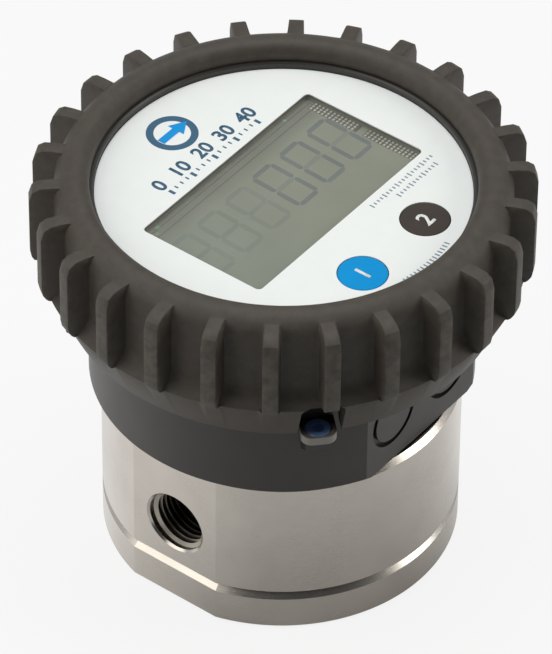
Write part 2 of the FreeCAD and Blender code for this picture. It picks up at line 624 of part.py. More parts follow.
def make_register_base():
    """The lower housing: bevelled foot, flat with two cable entries, lugs and seal flange."""
    body = new_body("register_base")
    foot_bevel = HOUSING_RADIUS - FOOT_RADIUS
    turned(body, "Revolution", "base_form", [
        (0, HOUSING_FOOT), (FOOT_RADIUS, HOUSING_FOOT),
        (HOUSING_RADIUS, HOUSING_FOOT + foot_bevel), (HOUSING_RADIUS, PARTING), (0, PARTING)])
    flat = new_sketch(body, "base_flat_outline", "XY_Plane", HOUSING_FOOT)
    rectangle(flat, -25, -HOUSING_RADIUS - 5, 25, -HOUSING_FLAT)
    pocket_up(body, "base_flat", flat, PARTING - HOUSING_FOOT)

    cavity = new_sketch(body, "base_cavity_outline", "XY_Plane", FLOOR_TOP)
    inner = HOUSING_RADIUS - WALL
    inner_flat = HOUSING_FLAT - WALL
    half = math.sqrt(inner.value**2 - inner_flat.value**2)
    half_width = Length(half, f"sqrt({inner.text}^2 - {inner_flat.text}^2)")
    outline(cavity, [(half_width, -inner_flat), (0, inner), (-half_width, -inner_flat)],
            {0: (inner, 1), 1: (inner, 1)})
    pocket_up(body, "base_cavity", cavity, PARTING - FLOOR_TOP)
    turned(body, "Revolution", "seal_flange", [
        (FLANGE_INNER, PARTING - 4), (HOUSING_RADIUS - 1, PARTING - 4),
        (HOUSING_RADIUS - 1, PARTING), (FLANGE_INNER, PARTING)])
    trim = new_sketch(body, "flange_flat_outline", "XY_Plane", PARTING - 4)
    rectangle(trim, -25, -HOUSING_RADIUS - 5, 25, -HOUSING_FLAT)
    pocket_up(body, "flange_flat", trim, 4)
    turned(body, "Groove", "register_seal_groove", [
        (HOUSING_SEAL_REACH - HOUSING_SEAL, PARTING - HOUSING_SEAL * 2),
        (HOUSING_SEAL_REACH + HOUSING_SEAL, PARTING - HOUSING_SEAL * 2),
        (HOUSING_SEAL_REACH + HOUSING_SEAL, PARTING),
        (HOUSING_SEAL_REACH - HOUSING_SEAL, PARTING)])

    entry = new_sketch(body, "cable_entry_rings", "XZ_Plane", HOUSING_FLAT)
    for side in (-1, 1):
        circle(entry, ENTRY_X * side, ENTRY_HEIGHT, ENTRY_RADIUS)
        circle(entry, ENTRY_X * side, ENTRY_HEIGHT, ENTRY_RADIUS - ENTRY_GROOVE)
    ring = feature(body, "Pocket", "cable_entries", entry)
    set_size(ring, "Length", ENTRY_DEPTH)

    lug = new_sketch(body, "base_lug_profile", "XZ_Plane", 0, LUG_TURN)
    tip = LUG_REACH - 0.8
    outline(lug, [
        (HOUSING_RADIUS - 1, PARTING), (HOUSING_RADIUS - 1, PARTING - 6.7),
        (HOUSING_RADIUS, PARTING - 5.9), (tip, PARTING - 1.9), (tip, PARTING)])
    gusset = centred_pad(body, "base_lug", lug, LUG_WIDTH - 1.6)
    around(body, "base_lugs", [gusset], LUGS)
    hole_circle(body, "lug_hole", LID_SCREW, LUG_AXIS, LUG_TURN, PARTING - LID_SCREW_GRIP,
                LID_SCREW_GRIP, LUGS)
    hole_circle(body, "floor_hole", REGISTER_SCREW + 0.2, REGISTER_SCREW_REACH, 0,
                HOUSING_FOOT, WALL, REGISTER_SCREWS)
    well = new_sketch(body, "sensor_hole_outline", "XY_Plane", HOUSING_FOOT)
    circle(well, SENSOR_REACH, 0, SENSOR_RADIUS + 0.3)
    pocket_up(body, "sensor_hole", well, WALL)


def make_register_cover():
    """The upper housing: face plate with window and button holes, rim and screw lugs."""
    body = new_body("register_cover")
    inner = HOUSING_RADIUS - WALL + 0.2
    flange_top = PARTING + LUG_HEIGHT
    turned(body, "Revolution", "cover_form", [
        (FLANGE_INNER, PARTING), (HOUSING_RADIUS, PARTING), (HOUSING_RADIUS, RIM_TOP - 0.3),
        (HOUSING_RADIUS - 0.3, RIM_TOP), (RIM_INNER + 0.3, RIM_TOP), (RIM_INNER, RIM_TOP - 0.3),
        (RIM_INNER, PLATE_TOP), (0, PLATE_TOP), (0, PLATE_BOTTOM), (inner, PLATE_BOTTOM),
        (inner, flange_top), (FLANGE_INNER, flange_top)])
    lug = new_sketch(body, "lug_outline", "XY_Plane", PARTING, LUG_TURN)
    half = LUG_WIDTH / 2
    root = HOUSING_RADIUS - 1.5
    shoulder = LUG_REACH - LUG_CORNER
    straight = half - LUG_CORNER
    outline(lug, [
        (root, -half), (shoulder, -half), (LUG_REACH, -straight), (LUG_REACH, straight),
        (shoulder, half), (root, half)], {1: (LUG_CORNER, 1), 3: (LUG_CORNER, 1)})
    tab = pad(body, "lug", lug, LUG_HEIGHT)
    around(body, "lugs", [tab], LUGS)
    hole_circle(body, "lug_counterbore", LID_HEAD_RADIUS + 0.05, LUG_AXIS, LUG_TURN,
                flange_top - LID_SCREW_HEAD, LID_SCREW_HEAD, LUGS)
    hole_circle(body, "lug_clearance", LID_SCREW + 0.2, LUG_AXIS, LUG_TURN, PARTING, LUG_HEIGHT,
                LUGS)

    opening = new_sketch(body, "window_opening_outline", "XY_Plane", PLATE_BOTTOM)
    rectangle(opening, -WINDOW_X / 2 - 0.3, -WINDOW_Y / 2 - 0.3, WINDOW_X / 2 + 0.3,
              WINDOW_Y / 2 + 0.3)
    pocket_up(body, "window_opening", opening, PLATE_TOP - PLATE_BOTTOM)
    rebate = new_sketch(body, "window_rebate_outline", "XY_Plane", PLATE_TOP - WINDOW_PANE)
    rectangle(rebate, -WINDOW_X / 2 - 1.4, -WINDOW_Y / 2 - 1.4, WINDOW_X / 2 + 1.4,
              WINDOW_Y / 2 + 1.4)
    pocket_up(body, "window_rebate", rebate, WINDOW_PANE)
    buttons = new_sketch(body, "button_hole_outline", "XY_Plane", PLATE_BOTTOM)
    for side in (-1, 1):
        circle(buttons, BUTTON_X * side, -BUTTON_Y, BUTTON_RADIUS + 0.15)
    pocket_up(body, "button_holes", buttons, PLATE_TOP - PLATE_BOTTOM)


def make_dial():
    """The window pane and the printed label that covers its edge."""
    pane = new_body("display_window")
    sketch = new_sketch(pane, "pane_outline", "XY_Plane", PLATE_TOP - WINDOW_PANE)
    rectangle(sketch, -WINDOW_X / 2 - 1.3, -WINDOW_Y / 2 - 1.3, WINDOW_X / 2 + 1.3,
              WINDOW_Y / 2 + 1.3)
    pad(pane, "pane", sketch, WINDOW_PANE)

    label = new_body("dial_label")
    sketch = new_sketch(label, "label_outline", "XY_Plane", PLATE_TOP)
    circle(sketch, 0, 0, RIM_INNER - 0.1)
    rectangle(sketch, -WINDOW_X / 2, -WINDOW_Y / 2, WINDOW_X / 2, WINDOW_Y / 2)
    for side in (-1, 1):
        circle(sketch, BUTTON_X * side, -BUTTON_Y, BUTTON_RADIUS + 0.15)
    pad(label, "label_sheet", sketch, LABEL)


def make_button(label, side):
    """A round push button: cap, retaining flange and stem. It travels straight down."""
    body = new_body(label)
    x, y = BUTTON_X * side, -BUTTON_Y
    for name, radius, foot, top in (
            ("stem", 1.6, PLATE_BOTTOM - 2.2, PLATE_BOTTOM - 0.9),
            ("flange", BUTTON_RADIUS + 0.7, PLATE_BOTTOM - 0.9, PLATE_BOTTOM - 0.2),
            ("cap", BUTTON_RADIUS, PLATE_BOTTOM - 0.2, PLATE_TOP + LABEL)):
        sketch = new_sketch(body, f"{label}_{name}_outline", "XY_Plane", foot)
        circle(sketch, x, y, radius)
        last = pad(body, f"{label}_{name}", sketch, top - foot)
    bevel(body, f"{label}_edge", last, PLATE_TOP + LABEL, 0.15)


def make_display():
    """The display glass, its frame and the contact strip down to the circuit board."""
    glass = new_body("lcd_glass")
    sketch = new_sketch(glass, "glass_outline", "XY_Plane", GLASS_FOOT)
    rectangle(sketch, -WINDOW_X / 2 - 1.1, -WINDOW_Y / 2 - 1.4, WINDOW_X / 2 + 1.1,
              WINDOW_Y / 2 + 1.4)
    pad(glass, "glass_pane", sketch, GLASS)

    frame = new_body("lcd_frame")
    sketch = new_sketch(frame, "frame_outline", "XY_Plane", BOARD_TOP)
    rectangle(sketch, -WINDOW_X / 2 - 3, -WINDOW_Y / 2 - 3, WINDOW_X / 2 + 3, WINDOW_Y / 2 + 3)
    pad(frame, "frame_block", sketch, GLASS_FOOT + GLASS - BOARD_TOP)
    hollow = new_sketch(frame, "frame_hollow_outline", "XY_Plane", BOARD_TOP)
    rectangle(hollow, -WINDOW_X / 2, -WINDOW_Y / 2 + 1, WINDOW_X / 2, WINDOW_Y / 2 - 1)
    pocket_up(frame, "frame_hollow", hollow, GLASS_FOOT - BOARD_TOP)
    seat = new_sketch(frame, "glass_seat_outline", "XY_Plane", GLASS_FOOT)
    rectangle(seat, -WINDOW_X / 2 - 1.2, -WINDOW_Y / 2 - 1.5, WINDOW_X / 2 + 1.2,
              WINDOW_Y / 2 + 1.5)
    pocket_up(frame, "glass_seat", seat, GLASS)

    strip = new_body("display_connector")
    sketch = new_sketch(strip, "strip_outline", "XY_Plane", BOARD_TOP)
    rectangle(sketch, WINDOW_X / 2 - 2.6, -11, WINDOW_X / 2 - 0.4, 11)
    pad(strip, "strip", sketch, GLASS_FOOT - BOARD_TOP)


def make_electronics():
    """The circuit board with its pillars, screws, switches and processor."""
    board = new_body("circuit_board")
    sketch = new_sketch(board, "board_outline", "XY_Plane", BOARD)
    circle(sketch, 0, 0, HOUSING_RADIUS - WALL - 2)
    pad(board, "board_sheet", sketch, BOARD_THICKNESS)
    hole_circle(board, "board_hole", BOARD_SCREW + 0.1, PILLAR_REACH, 45, BOARD,
                BOARD_THICKNESS, PILLARS)
    stud_ring("board_pillars", [
        (BOARD_SCREW, BOARD_TOP), (BOARD_SCREW + 1.4, BOARD_TOP),
        (BOARD_SCREW + 1.4, PLATE_BOTTOM), (BOARD_SCREW, PLATE_BOTTOM)],
        PILLAR_REACH, 45, PILLARS)
    stud_ring("board_screws", [
        (0, BOARD - 1.6), (BOARD_SCREW + 1.1, BOARD - 1.6), (BOARD_SCREW + 1.1, BOARD),
        (BOARD_SCREW, BOARD), (BOARD_SCREW, BOARD_TOP + 3), (0, BOARD_TOP + 3)],
        PILLAR_REACH, 45, PILLARS)

    switches = new_body("tactile_switches")
    sketch = new_sketch(switches, "switch_case_outline", "XY_Plane", BOARD_TOP)
    for side in (-1, 1):
        rectangle(sketch, BUTTON_X * side - 3, -BUTTON_Y - 3, BUTTON_X * side + 3, -BUTTON_Y + 3)
    pad(switches, "switch_cases", sketch, 3.3)
    sketch = new_sketch(switches, "switch_plunger_outline", "XY_Plane", BOARD_TOP + 3.3)
    for side in (-1, 1):
        circle(sketch, BUTTON_X * side, -BUTTON_Y, 1.7)
    pad(switches, "switch_plungers", sketch, 0.25)

    chip = doc.addObject("Part::Box", "processor_chip")
    chip.Label = "processor_chip"
    chip.Length = 10
    chip.Width = 10
    chip.Height = 1.5
    chip.Placement = Placement(Vector(-16, 4, BOARD.value - 1.5), Rotation())
    chip.setExpression(".Placement.Base.z", f"{BOARD.text} - 1.5")
    built.append(chip)


def make_battery():
    """A cylindrical cell in a cradle on the register floor, with a contact at each end."""
    half = CELL_LENGTH / 2
    axis_height = FLOOR_TOP + CELL_RADIUS + 1.1

    cell = doc.addObject("Part::Cylinder", "battery_cell")
    cell.Label = "battery_cell"
    set_size(cell, "Radius", CELL_RADIUS)
    set_size(cell, "Height", CELL_LENGTH)
    cell.Placement = Placement(Vector(-half.value, CELL_Y.value, axis_height.value),
                               Rotation(Vector(0, 0, 1), Vector(1, 0, 0)))
    built.append(cell)

    cradle = new_body("battery_holder")
    sketch = new_sketch(cradle, "cradle_outline", "XY_Plane", FLOOR_TOP)
    rectangle(sketch, -half - 2.4, CELL_Y - CELL_RADIUS - 0.6, half + 2.4,
              CELL_Y + CELL_RADIUS + 0.6)
    pad(cradle, "cradle_block", sketch, CELL_RADIUS + 4.5)
    hollow = new_sketch(cradle, "cradle_channel_outline", "YZ_Plane", -half - 0.7)
    reach = CELL_RADIUS + 0.1
    rim = axis_height + 4
    outline(hollow, [
        (CELL_Y - reach, axis_height), (CELL_Y, axis_height - reach),
        (CELL_Y + reach, axis_height), (CELL_Y + reach, rim), (CELL_Y - reach, rim)],
        {0: (reach, 1), 1: (reach, 1)})
    pocket_up(cradle, "cradle_channel", hollow, CELL_LENGTH + 1.4)

    contacts = new_body("battery_contacts")
    for name, start in (("plus_contact", -half - 0.6), ("minus_contact", half)):
        sketch = new_sketch(contacts, f"{name}_outline", "YZ_Plane", start)
        circle(sketch, CELL_Y, axis_height, CELL_RADIUS / 2)
        pad(contacts, name, sketch, 0.6)


def make_register_screws():
    """Screws from the register floor into the steel body."""
    stud_ring("register_screws", [
        (0, REGISTER_SCREW_FOOT), (REGISTER_SCREW, REGISTER_SCREW_FOOT),
        (REGISTER_SCREW, FLOOR_TOP), (REGISTER_SCREW + 1.4, FLOOR_TOP),
        (REGISTER_SCREW + 1.4, FLOOR_TOP + 3), (0, FLOOR_TOP + 3)],
        REGISTER_SCREW_REACH, 0, REGISTER_SCREWS)


def make_housing_screws():
    """Screws in the lugs, heads sunk flush, with a round socket recess."""
    top = PARTING + LUG_HEIGHT
    seat = top - LID_SCREW_HEAD
    body = stud_ring("housing_screws", [
        (0, PARTING - LID_SCREW_GRIP + 0.2), (LID_SCREW, PARTING - LID_SCREW_GRIP + 0.2),
        (LID_SCREW, seat), (LID_HEAD_RADIUS, seat), (LID_HEAD_RADIUS, top - 0.25),
        (LID_HEAD_RADIUS - 0.25, top), (0, top)], LUG_AXIS, LUG_TURN, LUGS)
    socket = new_sketch(body, "lid_screw_socket_outline", "XY_Plane", top - 0.8, LUG_TURN)
    corners = [at_angle(1.5, 60 * i) for i in range(6)]
    outline(socket, [(LUG_AXIS + corner.x, corner.y) for corner in corners])
    cut = pocket_up(body, "lid_screw_socket", socket, 0.8)
    around(body, "lid_screw_sockets", [cut], LUGS)


def make_rubber_boot():
    """The boot: a turned wall with lip and flared skirt, grip ribs and four screw notches."""
    body = new_body("rubber_boot")
    turned(body, "Revolution", "boot_wall", [
        (BOOT_INNER + 1, SKIRT_FOOT), (SKIRT_RADIUS - 0.3, SKIRT_FOOT),
        (SKIRT_RADIUS, SKIRT_FOOT + 0.3), (LEDGE_RADIUS, RIB_FOOT + 0.5),
        (LEDGE_RADIUS - 0.3, RIB_FOOT + 1.3), (GRIP_RADIUS, RIB_FOOT + 4.6),
        (GRIP_RADIUS, BOOT_TOP - 4.5), (GRIP_RADIUS - 4.5, BOOT_TOP), (BOOT_LIP, BOOT_TOP - 2.3),
        (BOOT_LIP, RIM_TOP), (BOOT_INNER, RIM_TOP), (BOOT_INNER, SKIRT_FOOT + 3)],
        {4: (4.2, -1), 6: (4.5, 1), 7: (3.4, 1)})
    rib = new_sketch(body, "rib_outline", "XY_Plane", RIB_FOOT, 90)
    half = RIB_WIDTH / 2
    outline(rib, [
        (GRIP_RADIUS - 3, -half), (RIB_RADIUS - 0.4, -half), (RIB_RADIUS, -half + 0.4),
        (RIB_RADIUS, half - 0.4), (RIB_RADIUS - 0.4, half), (GRIP_RADIUS - 3, half)])
    bar = pad(body, "rib", rib, BOOT_TOP - RIB_FOOT)
    around(body, "ribs", [bar], RIBS)
    turned(body, "Groove", "rib_tops", [
        (GRIP_RADIUS + 0.1, BOOT_TOP), (RIB_RADIUS - 1.2, BOOT_TOP - 1.8),
        (RIB_RADIUS - 0.4, BOOT_TOP - 2.7), (RIB_RADIUS + 0.3, BOOT_TOP - 5),
        (RIB_RADIUS + 1, BOOT_TOP - 5), (RIB_RADIUS + 1, BOOT_TOP + 1),
        (GRIP_RADIUS + 0.1, BOOT_TOP + 1)])
    turned(body, "Groove", "rib_feet", [
        (RIB_RADIUS + 0.2, RIB_FOOT + 2.8), (RIB_RADIUS - 0.6, RIB_FOOT + 0.9),
        (RIB_RADIUS - 2.6, RIB_FOOT - 0.3), (RIB_RADIUS + 1, RIB_FOOT - 0.3),
        (RIB_RADIUS + 1, RIB_FOOT + 2.8)])
    notch = new_sketch(body, "notch_outline", "YZ_Plane", 0, LUG_TURN)
    side = LUG_WIDTH / 2 + 0.8
    outline(notch, [
        (-side, SKIRT_FOOT - 1), (side, SKIRT_FOOT - 1), (side, NOTCH_TOP - 2.4),
        (side - 1.4, NOTCH_TOP), (-side + 1.4, NOTCH_TOP), (-side, NOTCH_TOP - 2.4)])
    cut = pocket_up(body, "notch", notch, RIB_RADIUS)
    around(body, "notches", [cut], LUGS)


def checked_shape(item):
    """The shape of a finished sub-part, after a check that it is sound."""
    shape = item.Shape
    if shape.isNull() or not shape.isValid() or not shape.Solids:
        raise RuntimeError(f"{item.Label} has no valid solid")
    return shape


def main():
    make_bottom_cover()
    make_cover_screws()
    make_ring_seal("cover_seal", SEAL_REACH, SEAL_RADIUS, JOINT - SEAL_RADIUS * 2)
    make_meter_body()
    make_inlet_nozzle()
    make_bushes()
    make_rotor()
    make_pickup_sensor()
    make_base_gasket()
    make_register_base()
    make_register_screws()
    make_ring_seal("housing_seal", HOUSING_SEAL_REACH, HOUSING_SEAL, PARTING - HOUSING_SEAL * 2)
    make_battery()
    make_electronics()
    make_display()
    make_register_cover()
    make_housing_screws()
    make_dial()
    make_button("program_button", -1)
    make_button("select_button", 1)
    make_rubber_boot()
    doc.recompute()

    for item in doc.Objects:
        if "Invalid" in item.State or "Error" in item.State:
            raise RuntimeError(f"{item.Name} failed: {item.State}")
    for item in built:
        shape = checked_shape(item)
        shape.exportStep(f"parts/{item.Label}.step")
        print(f"{item.Label}: {len(shape.Solids)} solid(s), {shape.Volume:.1f} mm3")


main()
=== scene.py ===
import json
import logging
import math
from contextlib import contextmanager
from dataclasses import dataclass, field
from enum import Enum
from functools import cached_property
from typing import Callable, ClassVar, Iterator, Optional, Sequence, Union

import bmesh
import bpy
from mathutils import Matrix, Vector


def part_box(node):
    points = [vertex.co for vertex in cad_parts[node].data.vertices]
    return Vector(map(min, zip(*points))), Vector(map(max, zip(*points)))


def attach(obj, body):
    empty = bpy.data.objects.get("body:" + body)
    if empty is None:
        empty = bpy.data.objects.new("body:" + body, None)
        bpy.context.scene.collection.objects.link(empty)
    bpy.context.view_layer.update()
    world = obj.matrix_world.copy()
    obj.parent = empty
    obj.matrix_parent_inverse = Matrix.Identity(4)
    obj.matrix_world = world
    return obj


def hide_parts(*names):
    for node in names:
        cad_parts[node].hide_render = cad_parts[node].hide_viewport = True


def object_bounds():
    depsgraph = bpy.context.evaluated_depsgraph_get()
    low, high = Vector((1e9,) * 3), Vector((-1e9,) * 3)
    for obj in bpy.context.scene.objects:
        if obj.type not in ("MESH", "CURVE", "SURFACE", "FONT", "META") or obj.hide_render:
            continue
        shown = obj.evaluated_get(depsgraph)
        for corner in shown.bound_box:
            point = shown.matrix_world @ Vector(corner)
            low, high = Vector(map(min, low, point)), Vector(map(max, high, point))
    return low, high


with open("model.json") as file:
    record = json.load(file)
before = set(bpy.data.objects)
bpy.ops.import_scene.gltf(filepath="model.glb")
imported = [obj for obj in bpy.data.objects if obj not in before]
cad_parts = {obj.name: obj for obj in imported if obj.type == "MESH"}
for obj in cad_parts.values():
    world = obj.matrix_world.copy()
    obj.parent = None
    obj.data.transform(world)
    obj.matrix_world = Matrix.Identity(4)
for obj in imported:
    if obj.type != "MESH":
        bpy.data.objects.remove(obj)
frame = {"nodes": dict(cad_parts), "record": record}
CAD_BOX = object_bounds()

LOG = logging.getLogger("flow_meter")
MM = 0.001
Point = tuple[float, float, float]
Flat = tuple[float, float]
Colour = tuple[float, float, float]
Bar = tuple[float, float, bool]
Test = Callable[[bmesh.types.BMVert], bool]
FIGURE_SHARE = 0.73  # a figure's height as a share of the font's size


# ---- shader maths ----

def _operator(operation: str, swapped: bool = False) -> Callable[["Signal", "Feed"], "Signal"]:
    """Makes one arithmetic method of a signal.

    Args:
        operation: The Math node's operation.
        swapped: Whether the signal is the right operand.

    Returns:
        The method.
    """
    def method(self: "Signal", other: "Feed") -> "Signal":
        """The Math node's result."""
        first, second = (other, self) if swapped else (self, other)
        return self.sheet.node("ShaderNodeMath", {"operation": operation}, {0: first, 1: second})

    return method


class Signal:
    """A node socket that can be used in Python arithmetic."""

    def __init__(self, sheet: "NodeSheet", socket: bpy.types.NodeSocket) -> None:
        """Wraps an output socket of a sheet."""
        self.sheet = sheet
        self.socket = socket

    __add__, __radd__ = _operator("ADD"), _operator("ADD", True)
    __sub__, __rsub__ = _operator("SUBTRACT"), _operator("SUBTRACT", True)
    __mul__, __rmul__ = _operator("MULTIPLY"), _operator("MULTIPLY", True)
    __pow__ = _operator("POWER")

    def ramp(self, low: float, high: float) -> "Signal":
        """Stretches low..high over 0..1 and clamps it."""
        return self.sheet.node("ShaderNodeMapRange", {},
                               {"Value": self, "From Min": low, "From Max": high})


Feed = Union[Signal, float, int, Sequence[float]]


def span(first: Signal, second: Signal) -> Signal:
    """The long side of the right triangle with these two sides."""
    return (first * first + second * second) ** 0.5


class NodeSheet:
    """The node tree of one material or of the world."""

    def __init__(self, owner: Union[str, bpy.types.World]) -> None:
        """Starts an empty node tree.

        Args:
            owner: The name of a new material, or the world.
        """
        self.material = bpy.data.materials.new(owner) if isinstance(owner, str) else owner
        self.material.use_nodes = True
        self.tree = self.material.node_tree
        self.tree.nodes.clear()

    def node(self, kind: str, settings: Optional[dict] = None, feeds: Optional[dict] = None,
             out: Union[int, str] = 0) -> Signal:
        """Adds any node: its settings are set first, then its sockets.

        Args:
            kind: The node's type.
            settings: Its properties.
            feeds: Values or signals for its input sockets, by index or name.
            out: The output socket to return.

        Returns:
            The chosen output.
        """
        made = self.tree.nodes.new(kind)
        for key, value in (settings or {}).items():
            setattr(made, key, value)
        for key, value in (feeds or {}).items():
            self.feed(made.inputs[key], value)
        return Signal(self, made.outputs[out])

    def feed(self, socket: bpy.types.NodeSocket, value: Feed) -> None:
        """Links a signal to a socket, or sets the socket's own value.

        Args:
            socket: The input socket.
            value: A signal or a plain value.
        """
        if isinstance(value, Signal):
            self.tree.links.new(value.socket, socket)
        elif socket.type == "RGBA" and len(value) == 3:
            socket.default_value = (*value, 1.0)
        else:
            socket.default_value = value

    @cached_property
    def place(self) -> Signal:
        """The surface point in the object's own space, in metres."""
        return self.node("ShaderNodeTexCoord", out="Object")

    def along(self, point: Signal, way: Point) -> Signal:
        """How far a point lies along a direction."""
        return self.node("ShaderNodeVectorMath", {"operation": "DOT_PRODUCT"},
                         {0: point, 1: way}, out="Value")

    def axes(self, point: Signal) -> tuple[Signal, Signal, Signal]:
        """The x, y and z of a point.

        Args:
            point: The point.

        Returns:
            Its three parts.
        """
        parts = self.node("ShaderNodeSeparateXYZ", {}, {0: point}).socket.node
        x, y, z = (Signal(self, output) for output in parts.outputs)
        return x, y, z

    def scaled(self, point: Signal, scale: Point) -> Signal:
        """A point with each axis multiplied."""
        return self.node("ShaderNodeVectorMath", {"operation": "MULTIPLY"}, {0: point, 1: scale})

    def noise(self, scale: float, detail: float = 3.0, roughness: float = 0.5,
              point: Optional[Signal] = None) -> Signal:
        """Soft noise from 0 to 1, at the surface point or another.

        Args:
            scale: How fine it is, in grains per metre.
            detail: How many finer layers it has.
            roughness: How strong the finer layers are.
            point: The other point.

        Returns:
            The noise.
        """
        feeds = {"Vector": point or self.place, "Scale": scale, "Detail": detail,
                 "Roughness": roughness}
        return self.node("ShaderNodeTexNoise", {}, feeds)

    def blend(self, mask: Feed, first: Union[Signal, Colour],
              second: Union[Signal, Colour]) -> Signal:
        """Mixes two colours: a mask of 0 gives the first, 1 the second."""
        return self.node("ShaderNodeMix", {"data_type": "RGBA"},
                         {0: mask, 6: first, 7: second}, out=2)

    def relief(self, height: Signal, depth: float) -> Signal:
        """A normal that follows a height; 1 stands for the depth, in metres."""
        return self.node("ShaderNodeBump", {}, {"Height": height, "Distance": depth},
                         out="Normal")

    def ray(self, kind: str) -> Signal:
        """1 for the rays of a kind, else 0."""
        return self.node("ShaderNodeLightPath", out=f"Is {kind} Ray")

    def surface(self, shader: Signal, kind: str = "ShaderNodeOutputMaterial") -> None:
        """Links a shader to an output node."""
        output = self.tree.nodes.new(kind)
        self.tree.links.new(shader.socket, output.inputs["Surface"])

    def finish(self, **feeds: Feed) -> bpy.types.Material:
        """Closes the material with a Principled shader.

        Args:
            feeds: Its sockets, with an underscore for each blank in a name.

        Returns:
            The material.
        """
        named = {key.replace("_", " "): value for key, value in feeds.items()}
        self.surface(self.node("ShaderNodeBsdfPrincipled", {}, named))
        return self.material


# ---- finishes ----

@dataclass(frozen=True)
class TurnedSteel:
    """Stainless steel with fine turning marks, faint cloudy tone and painted shade deep in the
    port bores.
    """

    name: str = "turned_steel"
    colour: Colour = (0.625, 0.58, 0.53)
    cloud: Colour = (0.56, 0.518, 0.472)
    # Painted shade, with some oil: the colour deep inside the port bores.
    inside: Colour = (0.05, 0.043, 0.036)
    roughness: float = 0.26
    marks: float = 9000.0
    bore_height: float = 20.3 * MM
    bore_radius: float = 7.2 * MM
    bore_mouth: float = 34.0 * MM
    shade_after: float = 5.0 * MM

    def build(self) -> bpy.types.Material:
        """Makes the material.

        Returns:
            The material.
        """
        sheet = NodeSheet(self.name)
        lines = sheet.noise(self.marks, 2.0, point=sheet.scaled(sheet.place, (0.02, 0.02, 1.0)))
        clouds = sheet.noise(60.0, 4.0, 0.6)
        specks = sheet.noise(2600.0, 2.0)
        x, y, z = sheet.axes(sheet.place)
        # Painted shade, with some oil: the steel darkens inside each port bore, from a little way
        # in from its mouth.
        off_axis = span(y, z - self.bore_height)
        bore = 1 - off_axis.ramp(self.bore_radius, self.bore_radius + 0.1 * MM)
        dark = self.bore_mouth - self.shade_after
        depth = 1 - ((x * x) ** 0.5).ramp(dark, self.bore_mouth)
        metal = sheet.blend(clouds.ramp(0.35, 0.7), self.colour, self.cloud)
        colour = sheet.blend(bore * depth, metal, self.inside)
        rough = self.roughness + (lines - 0.5) * 0.07 + (clouds - 0.5) * 0.06
        normal = sheet.relief(lines * 0.8 + specks * 0.2, 0.003 * MM)
        return sheet.finish(Base_Color=colour, Metallic=1.0, Roughness=rough, Normal=normal)


@dataclass(frozen=True)
class MouldedRubber:
    """Matt rubber, rubbed a little paler where it sticks out."""

    name: str = "moulded_rubber"
    colour: Colour = (0.072, 0.061, 0.048)
    rubbed: Colour = (0.110, 0.098, 0.080)
    deep: Colour = (0.048, 0.039, 0.031)
    rib_reach: float = 49.5 * MM
    worn_depth: float = 1.2 * MM

    def build(self) -> bpy.types.Material:
        """Makes the material.

        Returns:
            The material.
        """
        sheet = NodeSheet(self.name)
        x, y, _ = sheet.axes(sheet.place)
        pale_tips = span(x, y).ramp(self.rib_reach - self.worn_depth, self.rib_reach)
        mottle = sheet.noise(420.0, 5.0, 0.65)
        grain = sheet.noise(5200.0, 3.0, 0.7)
        base = sheet.blend(mottle.ramp(0.3, 0.75), self.deep, self.colour)
        colour = sheet.blend(pale_tips * mottle.ramp(0.35, 0.65) * 0.7, base, self.rubbed)
        rough = 0.58 + (grain - 0.5) * 0.16 + (mottle - 0.5) * 0.10
        normal = sheet.relief(grain + mottle * 0.6, 0.03 * MM)
        return sheet.finish(Base_Color=colour, Roughness=rough, Normal=normal,
                            Specular_IOR_Level=0.42)


@dataclass(frozen=True)
class MouldedPlastic:
    """Moulded plastic with a fine spark-eroded grain."""

    name: str
    colour: Colour
    shade: Colour
    roughness: float = 0.45
    grain_scale: float = 6000.0
    grain_depth: float = 0.012 * MM
    specular: float = 0.5

    def build(self) -> bpy.types.Material:
        """Makes the material.

        Returns:
            The material.
        """
        sheet = NodeSheet(self.name)
        grain = sheet.noise(self.grain_scale, 3.0, 0.6)
        cloud = sheet.noise(150.0)
        colour = self.tint(sheet, sheet.blend(cloud.ramp(0.3, 0.7), self.colour, self.shade))
        rough = self.roughness + (grain - 0.5) * 0.14 + (cloud - 0.5) * 0.06
        normal = sheet.relief(grain, self.grain_depth)
        return sheet.finish(Base_Color=colour, Roughness=rough, Normal=normal,
                            Specular_IOR_Level=self.specular)

    def tint(self, sheet: NodeSheet, colour: Signal) -> Signal:
        """The final colour; plain plastic keeps it as it is."""
        return colour


@dataclass(frozen=True)
class LuggedPlastic(MouldedPlastic):
    """Plastic whose outer screw lugs are painted paler towards their tips: a painted highlight
    where the lugs catch the light.
    """

    # Painted highlight: the pale colour of the lug tips.
    pale_tips: Colour = (0.24, 0.225, 0.20)
    reach: Flat = (40.2 * MM, 42.6 * MM)

    def tint(self, sheet: NodeSheet, colour: Signal) -> Signal:
        """The colour, painted paler towards the lugs' tips as a painted highlight."""
        x, y, _ = sheet.axes(sheet.place)
        return sheet.blend(span(x, y).ramp(*self.reach) * 0.9, colour, self.pale_tips)


@dataclass(frozen=True)
class PlatedMetal:
    """Plated or polished metal with light handling marks."""

    name: str
    colour: Colour
    tint: Colour
    roughness: float = 0.28

    def build(self) -> bpy.types.Material:
        """Makes the material.

        Returns:
            The material.
        """
        sheet = NodeSheet(self.name)
        cloud = sheet.noise(900.0, 4.0, 0.6)
        grain = sheet.noise(9000.0, 2.0)
        colour = sheet.blend(cloud.ramp(0.35, 0.65), self.colour, self.tint)
        rough = self.roughness + (cloud - 0.5) * 0.2
        normal = sheet.relief(grain, 0.004 * MM)
        return sheet.finish(Base_Color=colour, Metallic=1.0, Roughness=rough, Normal=normal)


